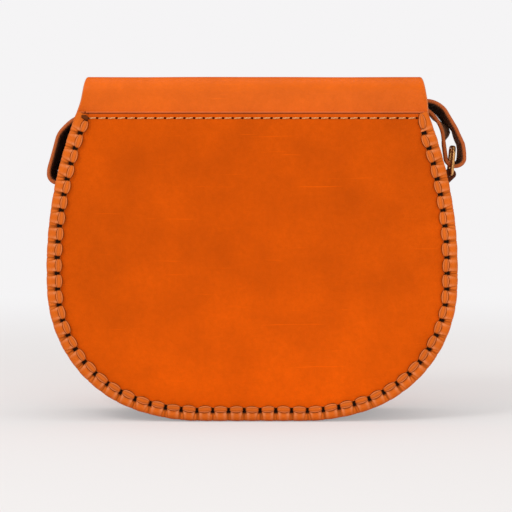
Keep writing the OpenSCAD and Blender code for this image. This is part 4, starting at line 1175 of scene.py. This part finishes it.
def strap_piece(name, route, lie, high, flip, w, t):
    """A flat strap along its route. flip mirrors it to the left. The outer layer's far edge leans in towards
    the inner layer, by high above the ring's bar, and its near edge keeps its place."""
    low, shown = route
    bar, beside, back, bulge_high, bulge_beside, shadow = lie
    section = strap_section(w, t)
    lengths = lengths_along(shown)
    crest = next(k for k, p in enumerate(shown) if abs(p[2]) < 1e-6)
    # The outer layer hangs straight from u_start, and the strap has gone round the bar at u_end
    u_start = next(s for s, p in zip(lengths, shown) if p[2] < -89.9)
    u_end = next(s for s, p in zip(lengths, shown) if p[2] < -261.9)
    inner = [p for s, p in zip(lengths, shown) if s >= u_end]

    def turned_out(p):
        """How far the inner layer is turned out at a place, in widths."""
        more = 1 + 4.8 * smooth((p[1] - bar[1] - 3) / 6)
        return math.sin(math.radians(back * more)) * (1 - smooth((p[1] - bar[1] - 12) / 6))

    def lean(p):
        """How far the outer layer's far edge leans in at a place, in widths, as far as there is room."""
        above = smooth((p[1] - bar[1] - 1) / 5)
        room = min(to_line(p, inner) - t - w * turned_out(p),
                   math.hypot(p[0] - bar[0], p[1] - bar[1]) - 1.7 - t / 2) - 0.4
        return max(0.0, min(room / w, beside + (high - beside) * above))

    last = max(k for k, s in enumerate(lengths) if s <= u_start + 0.1)
    leans = [lean(p) if k > crest else 0.0 for k, p in enumerate(shown[:last + 1])]
    leans += [leans[-1]] * (len(shown) - last - 1)
    for _ in range(2):
        leans = [(leans[max(k - 1, 0)] + 2 * leans[k] + leans[min(k + 1, len(leans) - 1)]) / 4
                 for k in range(len(leans))]
    places = [(p, 0.0, 0.0) for p in low[:-1]] + list(zip(shown, lengths, leans))
    rings, marks, along = [], {"flesh": [], "cut": [], "dark": []}, []
    for i, ((p, s, k), run) in enumerate(zip(places, lengths_along([place[0] for place in places]))):
        h = math.radians(p[2])
        round_u = smooth((s - u_start) / (u_end - u_start))
        bulge = 0.0
        if i - (len(low) - 1) > crest:
            above = smooth((p[1] - bar[1] - 2) / 6)
            free = smooth((shown[crest][1] - p[1]) / 6)
            bulge = free * (bulge_beside + (bulge_high - bulge_beside) * above) * (1 - round_u)
        in_x = math.sin(h) * k * (1 - round_u) + turned_out(p) * round_u
        in_z = -math.cos(h) * k * (1 - round_u)
        across = Vector((in_x, math.sqrt(1 - in_x ** 2 - in_z ** 2), in_z))
        off = Vector((math.cos(h), 0, math.sin(h))).cross(across).normalized()
        middle = Vector((p[0] + w / 2 * in_x + bulge, 0, p[1] + w / 2 * in_z))
        taper = 1.0 if flip else TIP_TAPER[min(i, 4)]
        # Painted shade on the flesh side inside the loop: all along on the left, near its top and its bottom
        # on the right
        deep = shadow if flip else shadow * max(smooth((p[1] - 178) / 10), smooth((159 - p[1]) / 5))
        ring = []
        for x, y, flesh, cut in section:
            rough = 0.07 * wander(run, x, y, 2.2) if cut > 0.3 else 0.0
            v = middle + across * (x * taper + rough) + off * (y + rough)
            ring.append((-v.x if flip else v.x, v.y, v.z))
            marks["flesh"].append(float(flesh))
            marks["cut"].append(0.8 if i in (0, len(places) - 1) else float(cut))
            in_shade = cut < 0.3 and i >= len(low)
            marks["dark"].append(deep * flesh * smooth((x + w / 2) / 3.5) if in_shade else 0.0)
            along.append((run, x, 0.0))
        rings.append(ring)
    return skin(name, rings, marks=marks, places={"along": along}, angle=50)


class BAG_OT_straps(bpy.types.Operator):
    """Builds the two flat straps, turned through the rings and put away in the bag"""

    bl_idname = "bag.straps"
    bl_label = "Straps"

    def execute(self, context):
        b, s = context.scene.bag_sizes, context.scene.bag_strap
        w, t = s.width, s.thick
        short = strap_piece("strap_short_hide", short_route(b), LEFT_LIE, s.lean_left, True, w, t)
        self.slot(short, *SHORT_SLOT)
        dress(short, strap_finish(), "bag", "strap_leather", "strap_short")
        long = strap_piece("strap_long_hide", long_route(b, Rim(b)), RIGHT_LIE, s.lean, False, w, t)
        dress(long, strap_finish(), "bag", "strap_leather", "strap_long")
        self.slot(long, *LONG_SLOT)
        return {"FINISHED"}

    def slot(self, obj, x0, x1, z0, z1, half):
        """Cuts the prong's slot through the strap with a block that is then removed."""
        clear_selection()
        bpy.ops.mesh.primitive_cube_add(size=1, location=placed((x0 + x1) / 2, 0, (z0 + z1) / 2))
        block = bpy.context.object
        block.scale = ((x1 - x0) * MM, 2 * half * MM, (z1 - z0) * MM)
        bpy.ops.object.transform_apply(location=False, rotation=False, scale=True)
        pick(obj)
        cut = obj.modifiers.new("Slot", "BOOLEAN")
        cut.operation = "DIFFERENCE"
        cut.object = block
        cut.solver = "EXACT"
        bpy.ops.object.modifier_apply(modifier="Slot")
        bpy.data.objects.remove(block, do_unlink=True)
        clear_selection()


# Half the length and height of the rings in the middle of their wire, and the radius of their corners
RING_HALF_Y, RING_HALF_Z, RING_CORNER = 11.4, 8.2, 3.2
# Each ring: the foot of its wire across and up, its lean in degrees and its side
RINGS = (("ring_left", (114.0, 133.8), 14.5, -1), ("ring_right", (121.6, 148.6), 5.2, 1))


class BAG_OT_rings(bpy.types.Operator):
    """Builds the two oblong brass rings"""

    bl_idname = "bag.rings"
    bl_label = "Rings"

    def execute(self, context):
        s = context.scene.bag_strap
        for node, (x, z), lean, side in RINGS:
            obj = self.ring(node + "_wire", x, z, lean, side, s.wire / 2)
            dress(obj, brass_finish(), node, "brass", node)
        return {"FINISHED"}

    def ring(self, name, x, z, lean, side, r):
        """A wire ring that leans by an angle in degrees. side is -1 on the left."""
        across, up, corner = RING_HALF_Y - RING_CORNER, 2 * (RING_HALF_Z - RING_CORNER), (RING_CORNER, 90)
        moves = [(across, 0), corner, (up, 0), corner, (2 * across, 0), corner, (up, 0), corner, (across, 0)]
        ca, sa = math.cos(math.radians(lean)), math.sin(math.radians(lean))
        rings = []
        for wire_y, wire_z, h in trail((0.0, 0.0, 0.0), moves, 11, 2)[:-1]:
            g = math.radians(h)
            ring = []
            for a in (2 * math.pi * j / 14 for j in range(14)):
                out, off = r * math.cos(a), r * math.sin(a)
                y, rise = wire_y - out * math.sin(g), wire_z + out * math.cos(g)
                ring.append((side * (x + off * ca + rise * sa), y, z - off * sa + rise * ca))
            rings.append(ring)
        return skin(name, rings, closed=True, angle=60)


class BAG_OT_fittings(bpy.types.Operator):
    """Softens the tabs, keeper, buckle, rivets and press stud, and gives them their finishes"""

    bl_idname = "bag.fittings"
    bl_label = "Fittings"

    def execute(self, context):
        bodies = {n: body for body, nodes in frame["record"]["behaviour"]["bodies"].items() for n in nodes}
        for node in ("tab_left", "tab_right"):
            dress(softened(node, node + "_hide", 0.45), hide_finish("dark"), "bag", "dark_leather", node)
        dress(softened("strap_keeper", "strap_keeper_hide", 0.35), strap_finish(), "bag", "strap_leather",
              "strap_keeper")
        for node in ("buckle_frame", "buckle_prong", "buckle_rivet", "tab_rivet_left", "tab_rivet_right",
                     "strap_rivet_left", "strap_rivet_right", "snap_cap", "snap_socket", "snap_stud",
                     "snap_back"):
            dress(softened(node, node + "_metal", 0.25 if node != "buckle_frame" else 0.6), brass_finish(),
                  bodies[node], "brass", node)
        return {"FINISHED"}


# stage


# Lamps: name, place and aim in metres, width in metres and power in watts
LAMPS = (("key", (-0.75, -1.0, 1.2), (0, 0, 0.1), 0.5, 6.5), ("sky", (0.05, 0.0, 1.5), (0, 0, 0.1), 1.0, 3.2),
         ("fill", (0.35, -1.6, 0.3), (0, 0, 0.08), 0.9, 5))
# The place that the camera looks at, and the width of its sensor in millimetres
CAMERA_AIM, SENSOR_W = (2.3, -36.0, 100.0), 36


class BAG_OT_stage(bpy.types.Operator):
    """Sets the pale floor, the soft light and the camera"""

    bl_idname = "bag.stage"
    bl_label = "Stage"

    def execute(self, context):
        scene = context.scene
        g = scene.bag_stage
        clear_selection()
        bpy.ops.mesh.primitive_plane_add(size=14, location=(0, 0, 0))
        floor = context.object
        floor.name = "floor"
        floor.data.materials.append(self.floor_material(g))
        world = scene.world or bpy.data.worlds.new("World")
        scene.world = world
        world.use_nodes = True
        t = world.node_tree
        t.nodes.clear()
        rays = add(t, "LightPath").outputs
        white = linear("#FFFFFF")
        rooms = ((white, g.soft_light), (white, g.mirror_light), (list(g.backdrop), 1.0))
        soft, dim, pale = (add(t, "Background", {"Color": c, "Strength": p}).outputs[0] for c, p in rooms)
        lit = add(t, "MixShader", {0: rays["Is Glossy Ray"], 1: soft, 2: dim}).outputs[0]
        seen = add(t, "MixShader", {0: rays["Is Camera Ray"], 1: lit, 2: pale}).outputs[0]
        add(t, "OutputWorld", {0: seen})
        for name, place, aim, wide, power in LAMPS:
            self.lamp(name, place, aim, wide, power)
        camera = bpy.data.cameras.new("Camera")
        eye = bpy.data.objects.new("Camera", camera)
        scene.collection.objects.link(eye)
        e = math.radians(g.elevation)
        eye.location = placed(*CAMERA_AIM) + Vector((0, -math.cos(e), math.sin(e))) * g.distance
        eye.rotation_euler = (math.radians(90) - e, 0, 0)
        camera.sensor_width = SENSOR_W
        camera.lens = SENSOR_W * g.distance / (g.view_w * MM)
        camera.clip_start = 0.05
        scene.camera = eye
        scene.view_settings.view_transform = "Standard"
        return {"FINISHED"}

    def lamp(self, name, place, aim, wide, power):
        data = bpy.data.lights.new(name, "AREA")
        data.size = wide
        data.energy = power
        obj = bpy.data.objects.new(name, data)
        bpy.context.scene.collection.objects.link(obj)
        obj.location = place
        obj.rotation_euler = (Vector(aim) - Vector(place)).to_track_quat("-Z", "Y").to_euler()

    def floor_material(self, g):
        """Matt white floor that melts into the backdrop away from the bag, seen by the camera only."""
        material, t = new_material("Pale studio floor")
        far = add(t, "VectorMath", {0: spot_place(t)}, operation="LENGTH").outputs["Value"]
        away = add(t, "MapRange", {"Value": far, "From Min": g.floor_near, "From Max": g.floor_far,
                                   "To Min": g.floor_lift}, interpolation_type="SMOOTHSTEP").outputs["Result"]
        camera_ray = add(t, "LightPath").outputs["Is Camera Ray"]
        seen = mixed(t, camera_ray, list(g.floor), tint(g.floor, g.floor_seen))
        lit = add(t, "BsdfDiffuse", {"Color": seen, "Roughness": 0.5}).outputs[0]
        glow = add(t, "Emission", {"Color": list(g.backdrop), "Strength": 1.0}).outputs[0]
        share = add(t, "Math", {0: camera_ray, 1: away}, operation="MULTIPLY").outputs[0]
        add(t, "OutputMaterial", {0: add(t, "MixShader", {0: share, 1: lit, 2: glow}).outputs[0]})
        return material


# panel in the sidebar


class BAG_PT_panel(bpy.types.Panel):
    """Lists the bag's sizes and steps"""

    bl_idname = "BAG_PT_panel"
    bl_label = "Saddle Bag"
    bl_space_type = "VIEW_3D"
    bl_region_type = "UI"
    bl_category = "Saddle Bag"

    def draw(self, context):
        scene = context.scene
        for group in (scene.bag_sizes, scene.bag_lace, scene.bag_strap, scene.bag_finishes, scene.bag_stage):
            box = self.layout.box()
            for key in group.__annotations__:
                box.prop(group, key)
        for step in STEPS:
            self.layout.operator(step.bl_idname)


STEPS = (BAG_OT_panels, BAG_OT_gusset, BAG_OT_bindings, BAG_OT_lacing, BAG_OT_flap, BAG_OT_seam,
         BAG_OT_straps, BAG_OT_rings, BAG_OT_fittings, BAG_OT_stage)
GROUPS = {"bag_sizes": BagSizes, "bag_lace": LaceSizes, "bag_strap": StrapSizes, "bag_finishes": Finishes,
          "bag_stage": StageSettings}


def register():
    for cls in (*GROUPS.values(), *STEPS, BAG_PT_panel):
        bpy.utils.register_class(cls)
    for key, cls in GROUPS.items():
        setattr(bpy.types.Scene, key, PointerProperty(type=cls))


def unregister():
    for key in GROUPS:
        delattr(bpy.types.Scene, key)
    for cls in (BAG_PT_panel, *reversed(STEPS), *reversed(list(GROUPS.values()))):
        bpy.utils.unregister_class(cls)


def main():
    register()
    clear_selection()
    bpy.ops.bag.panels()
    bpy.ops.bag.gusset()
    bpy.ops.bag.bindings()
    bpy.ops.bag.lacing()
    bpy.ops.bag.flap()
    bpy.ops.bag.seam()
    bpy.ops.bag.straps()
    bpy.ops.bag.rings()
    bpy.ops.bag.fittings()
    bpy.ops.bag.stage()


if __name__ == "__main__":
    main()
